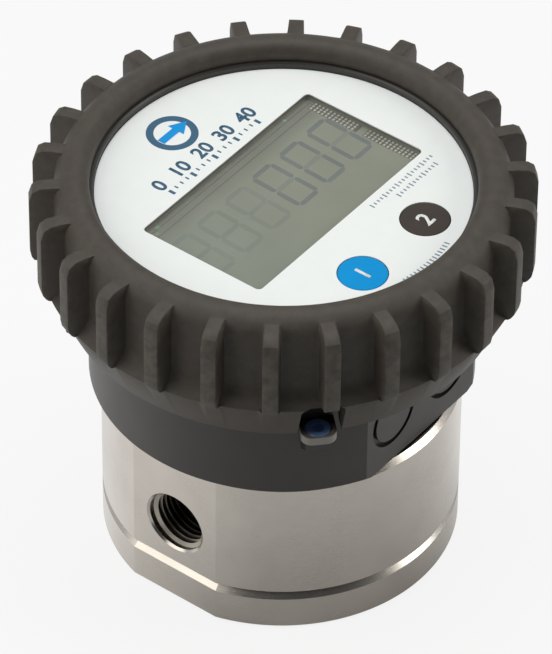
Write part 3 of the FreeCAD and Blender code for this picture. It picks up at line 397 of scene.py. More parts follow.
@dataclass(frozen=True)
class PrintedFilm:
    """Smooth film or ink with the slightest unevenness of a screen print."""

    name: str
    colour: Colour
    roughness: float = 0.34
    variation: float = 0.04

    def build(self) -> bpy.types.Material:
        """Makes the material.

        Returns:
            The material.
        """
        sheet = NodeSheet(self.name)
        cloud = sheet.noise(240.0)
        grain = sheet.noise(3000.0, 2.0)
        darker = tuple(part * (1.0 - self.variation) for part in self.colour)
        colour = sheet.blend(cloud.ramp(0.3, 0.7), self.colour, darker)
        rough = self.roughness + (grain - 0.5) * 0.08
        normal = sheet.relief(grain, 0.002 * MM)
        return sheet.finish(Base_Color=colour, Roughness=rough, Normal=normal,
                            Specular_IOR_Level=0.35)


@dataclass(frozen=True)
class DisplayGlass:
    """Reflective display glass: grey green, with painted shade towards its far long edge, where
    the window's edge shades it.
    """

    name: str = "display_glass"
    colour: Colour = (0.215, 0.232, 0.170)
    shade: Colour = (0.140, 0.144, 0.112)
    fringe: Colour = (0.195, 0.222, 0.178)
    far_edge: float = 14.3 * MM
    half_length: float = 26.0 * MM

    def build(self) -> bpy.types.Material:
        """Makes the material.

        Returns:
            The material.
        """
        sheet = NodeSheet(self.name)
        x, y, _ = sheet.axes(sheet.place)
        cloud = sheet.noise(70.0)
        speck = sheet.noise(2500.0, 2.0)
        # Painted shade along the far long edge, under the window's edge.
        far_edge_shade = y.ramp(self.far_edge - 6.0 * MM, self.far_edge - 3.0 * MM)
        toward_left = (0 - x).ramp(-5.0 * MM, self.half_length)
        body = sheet.blend(toward_left * 0.8, self.colour, self.fringe)
        body = sheet.blend((cloud - 0.5) * 0.5 + 0.1, body, self.shade)
        colour = sheet.blend(far_edge_shade * 0.75, body, self.shade)
        rough = 0.30 + (speck - 0.5) * 0.1
        normal = sheet.relief(speck, 0.002 * MM)
        return sheet.finish(Base_Color=colour, Roughness=rough, Normal=normal,
                            Specular_IOR_Level=0.3)


@dataclass(frozen=True)
class ClearPane:
    """Clear plastic pane with faint handling haze."""

    name: str = "clear_pane"
    haze: float = 0.045

    def build(self) -> bpy.types.Material:
        """Makes the material.

        Returns:
            The material.
        """
        sheet = NodeSheet(self.name)
        smear = sheet.noise(130.0, 4.0, 0.6)
        alpha = self.haze + (smear - 0.5) * 0.05
        colour = sheet.blend(smear, (0.80, 0.82, 0.80), (0.90, 0.92, 0.90))
        return sheet.finish(Base_Color=colour, Roughness=0.08 + smear * 0.08, Alpha=alpha,
                            Specular_IOR_Level=0.3)


SHELL = ((0.021, 0.0175, 0.014), (0.017, 0.014, 0.0115), 0.42)


class Finish(Enum):
    """The finishes of this object, each built once."""

    STEEL = TurnedSteel()
    THREAD = TurnedSteel("thread_steel", (0.56, 0.51, 0.44), (0.46, 0.42, 0.36), roughness=0.30)
    BOOT = MouldedRubber()
    HOUSING = MouldedPlastic("register_shell", *SHELL, specular=0.6)
    COVER = LuggedPlastic("cover_shell", *SHELL, specular=0.6)
    SEAL = MouldedPlastic("black_seal", (0.018, 0.018, 0.018), (0.03, 0.029, 0.028), 0.6)
    BLACK_PLASTIC = MouldedPlastic("black_plastic", (0.03, 0.03, 0.032), (0.022, 0.022, 0.024))
    WHEEL = MouldedPlastic("wheel_plastic", (0.72, 0.70, 0.64), (0.66, 0.64, 0.58), 0.4)
    BOARD = MouldedPlastic("green_laminate", (0.03, 0.16, 0.075), (0.024, 0.13, 0.06), 0.35)
    CELL = MouldedPlastic("cell_sleeve", (0.10, 0.30, 0.15), (0.08, 0.25, 0.12), 0.3)
    STRIP = MouldedPlastic("contact_strip", (0.62, 0.60, 0.52), (0.50, 0.48, 0.40), 0.5)
    BLUE_KEY = MouldedPlastic("blue_key", (0.0, 0.296, 0.686), (0.0, 0.27, 0.64), 0.42, 7000.0,
                              0.004 * MM, 0.15)
    DARK_KEY = MouldedPlastic("dark_key", (0.060, 0.048, 0.040), (0.048, 0.038, 0.032), 0.42,
                              7000.0, 0.004 * MM, 0.2)
    ZINC = PlatedMetal("zinc_plate", (0.42, 0.52, 0.70), (0.26, 0.35, 0.55), 0.24)
    # Zinc screw heads drawn as a bright blue non-metal: partly their own blue passivated colour,
    # partly a painted reflection of the heads' bevels.
    BLUE_ZINC = MouldedPlastic("blue_passivate_painted_reflection", (0.20, 0.34, 0.68), (0.15, 0.27, 0.56), 0.30,
                               5000.0, 0.006 * MM, 0.8)
    BRASS = PlatedMetal("drawn_brass", (0.78, 0.56, 0.25), (0.66, 0.46, 0.20))
    BRONZE = PlatedMetal("sintered_bronze", (0.60, 0.42, 0.22), (0.48, 0.34, 0.18), 0.42)
    NICKEL = PlatedMetal("nickel", (0.66, 0.64, 0.60), (0.56, 0.54, 0.50))
    FILM = PrintedFilm("white_film", (0.862, 0.888, 0.872), 0.30, 0.02)
    INK = PrintedFilm("dial_ink", (0.048, 0.128, 0.212))
    BRIGHT_INK = PrintedFilm("bright_ink", (0.0, 0.296, 0.72))
    PALE_INK = PrintedFilm("pale_ink", (0.20, 0.27, 0.33))
    WHITE_INK = PrintedFilm("white_ink", (0.88, 0.89, 0.88))
    GLASS = DisplayGlass()
    PANE = ClearPane()
    SEGMENT = PrintedFilm("display_segment", (0.118, 0.138, 0.130), 0.5, 0.12)
    GHOST = PrintedFilm("display_ghost", (0.168, 0.188, 0.152), 0.5, 0.08)
    TRACE = PrintedFilm("display_trace", (0.400, 0.390, 0.315), 0.45, 0.15)
    EDGE_INK = PrintedFilm("display_edge", (0.085, 0.082, 0.064), 0.5, 0.15)
    BORDER = PrintedFilm("display_border", (0.30, 0.305, 0.235), 0.5, 0.1)
    BOARD_GLINT = PrintedFilm("board_glint", (0.20, 0.34, 0.20), 0.4, 0.25)

    @property
    def material(self) -> bpy.types.Material:
        """The finish's material, made on first use."""
        name = self.value.name
        return bpy.data.materials.get(name) or self.value.build()


# ---- modelling ----

class Bench:
    """Modelling steps on one piece, as by hand. The piece's origin stays at the world's."""

    def __init__(self, name: str) -> None:
        """Remembers the piece's name; a primitive is added next."""
        self.name = name
        self.piece: Optional[bpy.types.Object] = None

    @staticmethod
    def clear() -> None:
        """Deselects every object."""
        if bpy.context.object and bpy.context.object.mode != "OBJECT":
            bpy.ops.object.mode_set(mode="OBJECT")
        bpy.ops.object.select_all(action="DESELECT")

    def _focus(self) -> None:
        """Makes the piece the active object and the only one selected."""
        self.clear()
        bpy.context.view_layer.objects.active = self.piece
        self.piece.select_set(True)

    def _take(self, scale: Sequence[float] = (1.0, 1.0, 1.0)) -> "Bench":
        """Takes up the object just added: names it and bakes its place into its mesh.

        Args:
            scale: Its size along each axis.

        Returns:
            This bench.
        """
        self.piece = bpy.context.object
        self.piece.scale = scale
        self.piece.name = self.name
        self.piece.data.name = self.name
        bpy.ops.object.transform_apply(location=True, rotation=True, scale=True)
        return self

    def _add(self, operator: Callable[..., set], scale: Sequence[float] = (1.0, 1.0, 1.0),
             **settings: object) -> "Bench":
        """Adds a primitive and takes it up.

        Args:
            operator: The operator that adds it.
            scale: Its size along each axis.
            settings: What the operator is given.

        Returns:
            This bench.
        """
        self.clear()
        operator(**settings)
        return self._take(scale)

    def cube(self, low: Point, high: Point) -> "Bench":
        """Adds a box between two corners."""
        first, second = Vector(low), Vector(high)
        return self._add(bpy.ops.mesh.primitive_cube_add, second - first, size=1,
                         location=(first + second) / 2)

    def disc(self, centre: Sequence[float], radius: float, corners: int) -> "Bench":
        """Adds a filled circle that faces up."""
        return self._add(bpy.ops.mesh.primitive_circle_add, vertices=corners, radius=radius,
                         fill_type="NGON", location=centre)

    def plane(self, centre: Point, width: float, depth: float) -> "Bench":
        """Adds a rectangle that faces up."""
        return self._add(bpy.ops.mesh.primitive_plane_add, (width, depth, 1.0), size=1,
                         location=centre)

    def words(self, body: str, centre: Point, height: float, bold: float = 0.0) -> "Bench":
        """Adds figures that lie flat, read along X and are centred, as a mesh.

        Args:
            body: The figures.
            centre: Their middle.
            height: Their height.
            bold: How far the outline is swollen.

        Returns:
            This bench.
        """
        self.clear()
        bpy.ops.object.text_add(location=(0, 0, 0))
        text = bpy.context.object
        text.data.body = body
        text.data.size = height / FIGURE_SHARE
        text.data.offset = bold
        text.data.resolution_u = 4
        bpy.ops.object.convert(target="MESH")
        corners = [vertex.co for vertex in bpy.context.object.data.vertices]
        middle = Vector((
            (min(c.x for c in corners) + max(c.x for c in corners)) / 2,
            (min(c.y for c in corners) + max(c.y for c in corners)) / 2, 0))
        bpy.context.object.location = Vector(centre) - middle
        return self._take()

    def chain(self, points: Sequence[Point], closed: bool) -> "Bench":
        """Draws a chain of edges by extruding one vertex from point to point.

        Args:
            points: The chain's points.
            closed: Whether the last point is joined to the first.

        Returns:
            This bench.
        """
        self._add(bpy.ops.mesh.primitive_plane_add, size=MM)
        with self.editing():
            bpy.ops.mesh.merge(type="CENTER")
            bpy.ops.transform.translate(value=points[0])
            for before, after in zip(points, points[1:]):
                step = Vector(after) - Vector(before)
                bpy.ops.mesh.extrude_region_move(TRANSFORM_OT_translate={"value": step})
            if closed:
                mesh = bmesh.from_edit_mesh(self.piece.data)
                for vertex in mesh.verts:
                    vertex.select = len(vertex.link_edges) == 1
                mesh.select_flush_mode()
                bpy.ops.mesh.edge_face_add()
        return self

    @contextmanager
    def editing(self, chosen: Optional[Test] = None) -> Iterator[None]:
        """Holds the piece in edit mode with vertices selected.

        Args:
            chosen: The test of a vertex; without it, all are selected.

        Yields:
            Nothing.
        """
        self._focus()
        bpy.ops.object.mode_set(mode="EDIT")
        bpy.ops.mesh.select_mode(type="VERT")
        mesh = bmesh.from_edit_mesh(self.piece.data)
        for vertex in mesh.verts:
            vertex.select = chosen is None or chosen(vertex)
        mesh.select_flush_mode()
        bmesh.update_edit_mesh(self.piece.data)
        yield
        bpy.ops.object.mode_set(mode="OBJECT")

    def shift(self, value: Point, chosen: Optional[Test] = None) -> None:
        """Moves the chosen vertices, or all."""
        with self.editing(chosen):
            bpy.ops.transform.translate(value=value)

    def thicken(self, height: float) -> "Bench":
        """Gives flat faces a thickness upwards.

        Args:
            height: The thickness.

        Returns:
            This bench.
        """
        with self.editing():
            bpy.ops.mesh.extrude_region_move(TRANSFORM_OT_translate={"value": (0, 0, height)})
            bpy.ops.mesh.select_all(action="SELECT")
            bpy.ops.mesh.normals_make_consistent(inside=False)
        return self

    def hollow(self, wall: float) -> "Bench":
        """Leaves only the rim of a flat face.

        Args:
            wall: The rim's width.

        Returns:
            This bench.
        """
        with self.editing():
            bpy.ops.mesh.select_mode(type="FACE")
            bpy.ops.mesh.select_all(action="SELECT")
            bpy.ops.mesh.inset(thickness=wall)
            bpy.ops.mesh.delete(type="FACE")
        return self

    def tidy(self, gap: float = 0.002 * MM) -> "Bench":
        """Merges doubled vertices and turns all faces outwards.

        Args:
            gap: How far apart doubled vertices may be.

        Returns:
            This bench.
        """
        with self.editing():
            bpy.ops.mesh.remove_doubles(threshold=gap)
            bpy.ops.mesh.normals_make_consistent(inside=False)
        return self

    def turn(self, angle: float) -> "Bench":
        """Turns the piece's mesh about the world's Z."""
        self.piece.data.transform(Matrix.Rotation(angle, 4, "Z"))
        return self

    def copy(self, name: str) -> "Bench":
        """Copies the piece and its mesh.

        Args:
            name: The copy's name.

        Returns:
            A bench with the copy.
        """
        other = Bench(name)
        other.piece = self.piece.copy()
        other.piece.data = self.piece.data.copy()
        other.piece.name = name
        other.piece.data.name = name
        bpy.context.collection.objects.link(other.piece)
        return other

    def join(self, others: Sequence["Bench"], name: str) -> "Bench":
        """Joins other pieces into this one.

        Args:
            others: The benches with the other pieces.
            name: The whole's name.

        Returns:
            This bench.
        """
        self._focus()
        for other in others:
            other.piece.select_set(True)
        bpy.ops.object.join()
        self.piece.name = name
        return self

    def modify(self, kind: str, **settings: object) -> "Bench":
        """Adds a modifier with its settings and applies it.

        Args:
            kind: The modifier's type.
            settings: Its properties.

        Returns:
            This bench.
        """
        self._focus()
        made = self.piece.modifiers.new(kind.lower(), kind)
        for key, value in settings.items():
            setattr(made, key, value)
        bpy.ops.object.modifier_apply(modifier=made.name)
        return self

    def smooth(self, degrees: float) -> "Bench":
        """Shades smooth.

        Args:
            degrees: The angle from which an edge stays crisp.

        Returns:
            This bench.
        """
        self._focus()
        bpy.ops.object.shade_smooth_by_angle(angle=math.radians(degrees))
        return self

    def done(self, finish: Finish, slot: str, body: str = "housing") -> bpy.types.Object:
        """Dresses the piece, lets it ride on a body and reports it.

        Args:
            finish: The piece's finish.
            slot: The record's material slot; not used.
            body: The body that carries it.

        Returns:
            The piece.
        """
        self.piece.data.materials.clear()
        self.piece.data.materials.append(finish.material)
        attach(self.piece, body)
        LOG.info("%s: %d faces", self.piece.name, len(self.piece.data.polygons))
        return self.piece


def polar(radius: float, degrees: float, height: float) -> Point:
    """A point at a radius and an angle about Z."""
    turn = math.radians(degrees)
    return (radius * math.cos(turn), radius * math.sin(turn), height)


def near(spot: Vector, reach: float = 0.02 * MM) -> Test:
    """A test for the vertices at a spot."""
    return lambda vertex: (vertex.co - spot).length < reach


def dress(finishes: dict[str, Finish]) -> None:
    """Gives CAD nodes their finishes and reports them.

    Args:
        finishes: Each node's name and finish.
    """
    for node, finish in finishes.items():
        piece = frame["nodes"][node]
        if not piece.material_slots:
            piece.data.materials.append(finish.material)
        for place in piece.material_slots:
            place.material = finish.material
        LOG.info("%s dressed in %s", node, finish.name.lower())


# ---- rubber boot ----

@dataclass
class RubberBoot:
    """The ribbed boot round the register, in millimetres."""

    ribs: int = 26
    bore: float = 38.5
    lip: float = 37.7
    wall: float = 44.7
    rib: float = 49.5
    rib_half_turn: float = 1.74
    root_half_turn: float = 2.24
    ledge: float = 47.8
    skirt: float = 43.3
    skirt_foot: float = 59.2
    rib_foot: float = 68.9
    rim: float = 85.2
    crest: float = 88.9
    lip_round: float = 4.5
    rounding: float = 0.32
    first_notch: float = 227.0
    notches: int = 4
    notch_half: float = 4.3
    notch_top: float = 69.7
    notch_foot: float = 58.0
    notch_reach: Flat = (37.0, 52.0)
    notch_round: float = 1.8
    inner: list[Flat] = field(init=False)
    rows: list[tuple[Flat, Flat]] = field(init=False)
    foot: list[Flat] = field(init=False)

    def __post_init__(self) -> None:
        """Works out the section: the bore and lip, the rows that ribs share, and the skirt."""
        lip_arc = [(self.lip + 0.45, self.crest - 1.1), (self.lip + 1.35, self.crest - 0.32)]
        self.inner = [
            (self.bore + 1.2, self.skirt_foot), (self.bore, self.skirt_foot + 3.0),
            (self.bore, self.rim), (self.lip, self.rim), (self.lip, self.crest - 2.3),
            *lip_arc, (self.wall - self.lip_round, self.crest)]
        round_top = [
            (self.wall - self.lip_round * (1 - math.sin(turn)),
             self.crest - self.lip_round * (1 - math.cos(turn)))
            for turn in (math.radians(15.0 * step) for step in range(1, 7))]
        rib_top = round_top[:3] + [
            (self.wall + 0.9, self.crest - 1.2), (self.rib - 1.9, self.crest - 1.4),
            (self.rib - 0.65, self.crest - 2.25)]
        wall = [(self.wall, self.crest - 6.0), (self.wall, self.rib_foot + 9.0),
                (self.wall, self.rib_foot + 4.4)]
        rib_face = [(self.rib, self.crest - 4.4), (self.rib, self.rib_foot + 8.0),
                    (self.rib, self.rib_foot + 3.0)]
        hollow = [(self.wall + 0.4, self.rib_foot + 3.1), (self.wall + 1.2, self.rib_foot + 1.9),
                  (self.wall + 2.3, self.rib_foot + 1.2), (self.ledge, self.rib_foot + 0.5)]
        rib_bottom = [(self.rib - 0.3, self.rib_foot + 1.4), (self.rib - 0.9, self.rib_foot + 0.4),
                      (self.ledge + 0.3, self.rib_foot - 0.1),
                      (self.ledge - 0.36, self.rib_foot - 0.3)]
        self.rows = list(zip(round_top + wall + hollow, rib_top + rib_face + rib_bottom))
        self.foot = [(self.skirt, self.skirt_foot + 0.4), (self.skirt - 0.4, self.skirt_foot)]

    def sector(self) -> Bench:
        """One rib with half a pocket on each side, spun from the wall's section.

        Returns:
            A bench with the sector.
        """
        flat = self.inner + [wall for wall, _ in self.rows] + self.foot
        half = 180.0 / self.ribs
        stops = [-half, -half * 0.74, -half * 0.5, -self.root_half_turn, -self.rib_half_turn,
                 -self.rib_half_turn / 3]
        stops += [-stop for stop in reversed(stops)]
        bench = Bench("boot_sector").chain([(r * MM, 0.0, z * MM) for r, z in flat], closed=True)
        bench.turn(math.radians(stops[0]))
        with bench.editing():
            for before, after in zip(stops, stops[1:]):
                bpy.ops.mesh.spin(steps=1, angle=math.radians(before - after),
                                  center=(0, 0, 0), axis=(0, 0, 1))
        self._raise_rib(bench)
        return bench

    def _raise_rib(self, bench: Bench) -> None:
        """Moves the rows of the rib's columns out to the rib's own section.

        Args:
            bench: The bench with the sector.
        """
        for (wall_r, wall_z), (rib_r, rib_z) in self.rows:
            for column in (-self.rib_half_turn, -self.rib_half_turn / 3,
                           self.rib_half_turn / 3, self.rib_half_turn):
                start = Vector(polar(wall_r * MM, column, wall_z * MM))
                goal = Vector(polar(rib_r * MM, column, rib_z * MM))
                bench.shift(goal - start, near(start))

    def _cutter(self, angle: float) -> Bench:
        """A radial cutter for one notch.

        Args:
            angle: Where the notch is, in degrees about Z.

        Returns:
            The cutter, its top edges rounded.
        """
        half, top, tiny = self.notch_half * MM, self.notch_top * MM, 0.01 * MM
        inner, outer = (reach * MM for reach in self.notch_reach)
        cutter = Bench("notch_cutter").cube((inner, -half, self.notch_foot * MM),
                                            (outer, half, top))
        with cutter.editing(lambda vertex: vertex.co.z > top - tiny):
            bpy.ops.mesh.select_mode(type="EDGE")
            for edge in bmesh.from_edit_mesh(cutter.piece.data).edges:
                start, stop = (end.co for end in edge.verts)
                edge.select = (min(start.z, stop.z) > top - tiny
                               and abs(start.y - stop.y) < tiny)
            bpy.ops.mesh.bevel(offset=self.notch_round * MM, segments=3)
        return cutter.turn(math.radians(angle))

    def build(self) -> None:
        """Makes the whole boot and puts it in place of the plain solid."""
        sector = self.sector()
        step = 2 * math.pi / self.ribs
        start = math.pi / 2
        others = [sector.copy(f"boot_sector_{index}").turn(start + index * step)
                  for index in range(1, self.ribs)]
        sector.turn(start)
        sector.join(others, "boot_skin").tidy(0.01 * MM)
        sector.piece.data.name = "boot_skin"
        sector.modify("BEVEL", width=self.rounding * MM, segments=2, limit_method="ANGLE",
                      angle_limit=math.radians(38), use_clamp_overlap=True)
        for index in range(self.notches):
            cutter = self._cutter(self.first_notch + 360.0 / self.notches * index)
            sector.modify("BOOLEAN", object=cutter.piece, operation="DIFFERENCE", solver="EXACT")
            bpy.data.objects.remove(cutter.piece)
        sector.smooth(40)
        boot = sector.done(Finish.BOOT, "boot_rubber")
        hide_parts("rubber_boot")


# ---- metal body ----

@dataclass
class MeterBody:
    """The steel body with its cover, ports and turbine."""

    thread_pitch: float = 1.337
    thread_major: float = 6.56
    thread_minor: float = 5.75
    thread_flank: float = 0.45
    thread_crest: float = 0.3
    thread_turns: int = 8
    steps: int = 40
    port_inset: float = 0.15
    finishes: ClassVar[dict[str, Finish]] = {
        "meter_body": Finish.STEEL, "bottom_cover": Finish.STEEL, "cover_screws": Finish.ZINC,
        "cover_seal": Finish.SEAL, "inlet_nozzle": Finish.BRASS, "lower_bearing": Finish.BRONZE,
        "upper_bearing": Finish.BRONZE, "rotor_shaft": Finish.NICKEL,
        "turbine_rotor": Finish.WHEEL, "rotor_magnets": Finish.NICKEL,
        "pickup_sensor": Finish.BLACK_PLASTIC, "base_gasket": Finish.SEAL}

    def build(self) -> None:
        """Dresses the metal pieces and cuts both port threads."""
        dress(self.finishes)
        for mount in frame["record"]["mounts"]:
            if mount["kind"] == "threaded_hole":
                self.thread(mount)

    def thread(self, port: dict) -> None:
        """Makes one port's thread: a ridge wound along the port's axis.

        Args:
            port: The port's mount in the record.
        """
        pitch, major, minor = self.thread_pitch, self.thread_major, self.thread_minor
        flank, crest = self.thread_flank, self.thread_crest
        ridge = [(0.0, major), (flank, minor), (flank + crest, minor),
                 (2 * flank + crest, major), (pitch, major)]
        bench = Bench(f"{port['name']}_thread")
        bench.chain([(x * MM, 0.0, r * MM) for x, r in ridge], closed=False)
        bench.modify("SCREW", axis="X", angle=2 * math.pi, screw_offset=pitch * MM,
                     iterations=self.thread_turns, steps=self.steps,
                     render_steps=self.steps, use_merge_vertices=True)
        mouth = Vector(port["pos_m"])
        outward = Vector(port["axis"])
        if outward.x > 0:
            bench.turn(math.pi)
        bench.shift(mouth - outward * self.port_inset * MM)
        with bench.editing():
            bpy.ops.mesh.normals_make_consistent(inside=True)
        bench.smooth(30).done(Finish.THREAD, "stainless_steel")


# ---- register ----

@dataclass
class Register:
    """The register housing and what it holds."""

    finishes: ClassVar[dict[str, Finish]] = {
        "register_base": Finish.HOUSING, "register_cover": Finish.COVER,
        "register_screws": Finish.ZINC, "housing_screws": Finish.BLUE_ZINC,
        "housing_seal": Finish.SEAL, "battery_holder": Finish.BLACK_PLASTIC,
        "battery_cell": Finish.CELL, "battery_contacts": Finish.NICKEL,
        "circuit_board": Finish.BOARD, "board_pillars": Finish.NICKEL,
        "board_screws": Finish.ZINC, "tactile_switches": Finish.BLACK_PLASTIC,
        "processor_chip": Finish.BLACK_PLASTIC, "lcd_frame": Finish.BLACK_PLASTIC,
        "lcd_glass": Finish.GLASS, "display_connector": Finish.STRIP,
        "display_window": Finish.PANE, "dial_label": Finish.FILM,
        "program_button": Finish.BLUE_KEY, "select_button": Finish.DARK_KEY}

    def build(self) -> None:
        """Dresses the housing's pieces."""
        dress(self.finishes)


@dataclass
class DialPrint:
    """What is printed on the dial and on the buttons, in millimetres from the dial's centre."""

    ink: float = 0.03
    mark_centre: Flat = (0.0, 27.6)
    mark_radius: float = 5.2
    mark_wall: float = 1.5
    arrow_head: float = 2.3
    arrow_shaft: Flat = (4.65, 1.7)
    shaft_shift: float = -1.175
    scale_centre: Flat = (-0.4, 18.9)
    scale_span: float = 27.0
    figure_height: float = 3.3
    figure_bold: float = 0.12
    figure_rise: float = 0.9
    tick: Flat = (0.7, 1.5)
    tick_drop: float = 2.3
    minor_tick: Flat = (0.35, 0.9)
    minor_drop: float = 2.0
    fine_rows: tuple[Point, ...] = ((16.2, -16.4, 19.0), (18.5, -18.5, 12.0))
    fine_wide: float = 0.3
    fine_long: float = 1.2
    fine_short: float = 0.75
    rim_radius: float = 34.9
    rim_first: float = -101.0
    rim_step: float = 1.6
    rim_count: int = 15
    rim_tick: Flat = (1.1, 0.32)
    key_height: float = 3.7
    key_bold: float = 0.10

    @cached_property
    def top(self) -> float:
        """The height of the label's upper side, in metres."""
        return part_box("dial_label")[1].z

    def build(self) -> None:
        """Prints the flow mark, the scale, the fine graduations and the button figures."""
        self.flow_mark()
        self.scale()
        self.fine_scale()
        self.rim_ticks()
        self.figure("program_figure", "1", "program_button", "program_key", "button_blue")
        self.figure("select_figure", "2", "select_button", "select_key", "button_dark")

    def _bar(self, name: str, x: float, y: float, size: Flat, layer: int = 0) -> Bench:
        """A printed rectangle on so many layers of ink."""
        centre = (x * MM, y * MM, self.top + layer * self.ink * MM)
        return Bench(name).plane(centre, size[0] * MM, size[1] * MM).thicken(self.ink * MM)

    def flow_mark(self) -> None:
        """A ring with an arrow through it: the general sign of a meter in a pipe."""
        x, y = self.mark_centre
        ring = Bench("flow_ring").disc((x * MM, y * MM, self.top), self.mark_radius * MM, 48)
        ring.hollow(self.mark_wall * MM).thicken(self.ink * MM).done(Finish.INK, "dial_film")
        shaft = self._bar("flow_arrow", x + self.shaft_shift, y, self.arrow_shaft, layer=1)
        centre = Vector(((x + self.arrow_head) * MM, y * MM, self.top + self.ink * MM))
        head = Bench("flow_head").disc(centre, self.arrow_head * MM, 3)
        head.piece.data.transform(Matrix.Translation(centre)
                                  @ Matrix.Rotation(-math.pi / 2, 4, "Z")
                                  @ Matrix.Translation(-centre))
        head.thicken(self.ink * MM)
        shaft.join([head], "flow_arrow").done(Finish.BRIGHT_INK, "dial_film")

    def scale(self) -> None:
        """A plain scale: figures over a row of ticks."""
        x, y = self.scale_centre
        pieces = []
        for index in range(5):
            place = x + (index / 4 - 0.5) * self.scale_span
            pieces.append(Bench(f"scale_figure_{index}").words(
                str(index * 10), (place * MM, (y + self.figure_rise) * MM, self.top),
                self.figure_height * MM, self.figure_bold * MM).thicken(self.ink * MM))
            pieces.append(self._bar(f"scale_tick_{index}", place, y - self.tick_drop, self.tick))
            for part in (1, 2, 3) if index < 4 else ():
                minor = place + part * self.scale_span / 16
                pieces.append(self._bar("scale_minor", minor, y - self.minor_drop,
                                        self.minor_tick))
        pieces[0].join(pieces[1:], "dial_scale").done(Finish.INK, "dial_film")

    def fine_scale(self) -> None:
        """Two short rows of fine graduations near the lower right of the display."""
        pieces = []
        for centre, y, length in self.fine_rows:
            count = int(length)
            for index in range(count + 1):
                x = centre + (index / count - 0.5) * length
                depth = self.fine_short if index % 4 else self.fine_long
                pieces.append(self._bar("fine_tick", x, y, (self.fine_wide, depth)))
        pieces[0].join(pieces[1:], "fine_scale").done(Finish.PALE_INK, "dial_film")

    def rim_ticks(self) -> None:
        """A short arc of ticks along the dial's near edge."""
        pieces = []
        for index in range(self.rim_count):
            angle = self.rim_first + index * self.rim_step
            tick = self._bar("rim_tick", 0, 0, self.rim_tick)
            tick.piece.data.transform(
                Matrix.Translation(polar(self.rim_radius * MM, angle, 0.0))
                @ Matrix.Rotation(math.radians(angle), 4, "Z"))
            pieces.append(tick)
        pieces[0].join(pieces[1:], "rim_ticks").done(Finish.PALE_INK, "dial_film")

    def figure(self, name: str, body: str, node: str, carrier: str, slot: str) -> None:
        """A white figure on a button.

        Args:
            name: The piece's name.
            body: The figure.
            node: The button's node.
            carrier: The body that the button is.
            slot: The button's material slot.
        """
        low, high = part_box(node)
        centre = ((low.x + high.x) / 2, (low.y + high.y) / 2, high.z)
        bench = Bench(name).words(body, centre, self.key_height * MM, self.key_bold * MM)
        bench.thicken(self.ink * MM).done(Finish.WHITE_INK, slot, carrier)


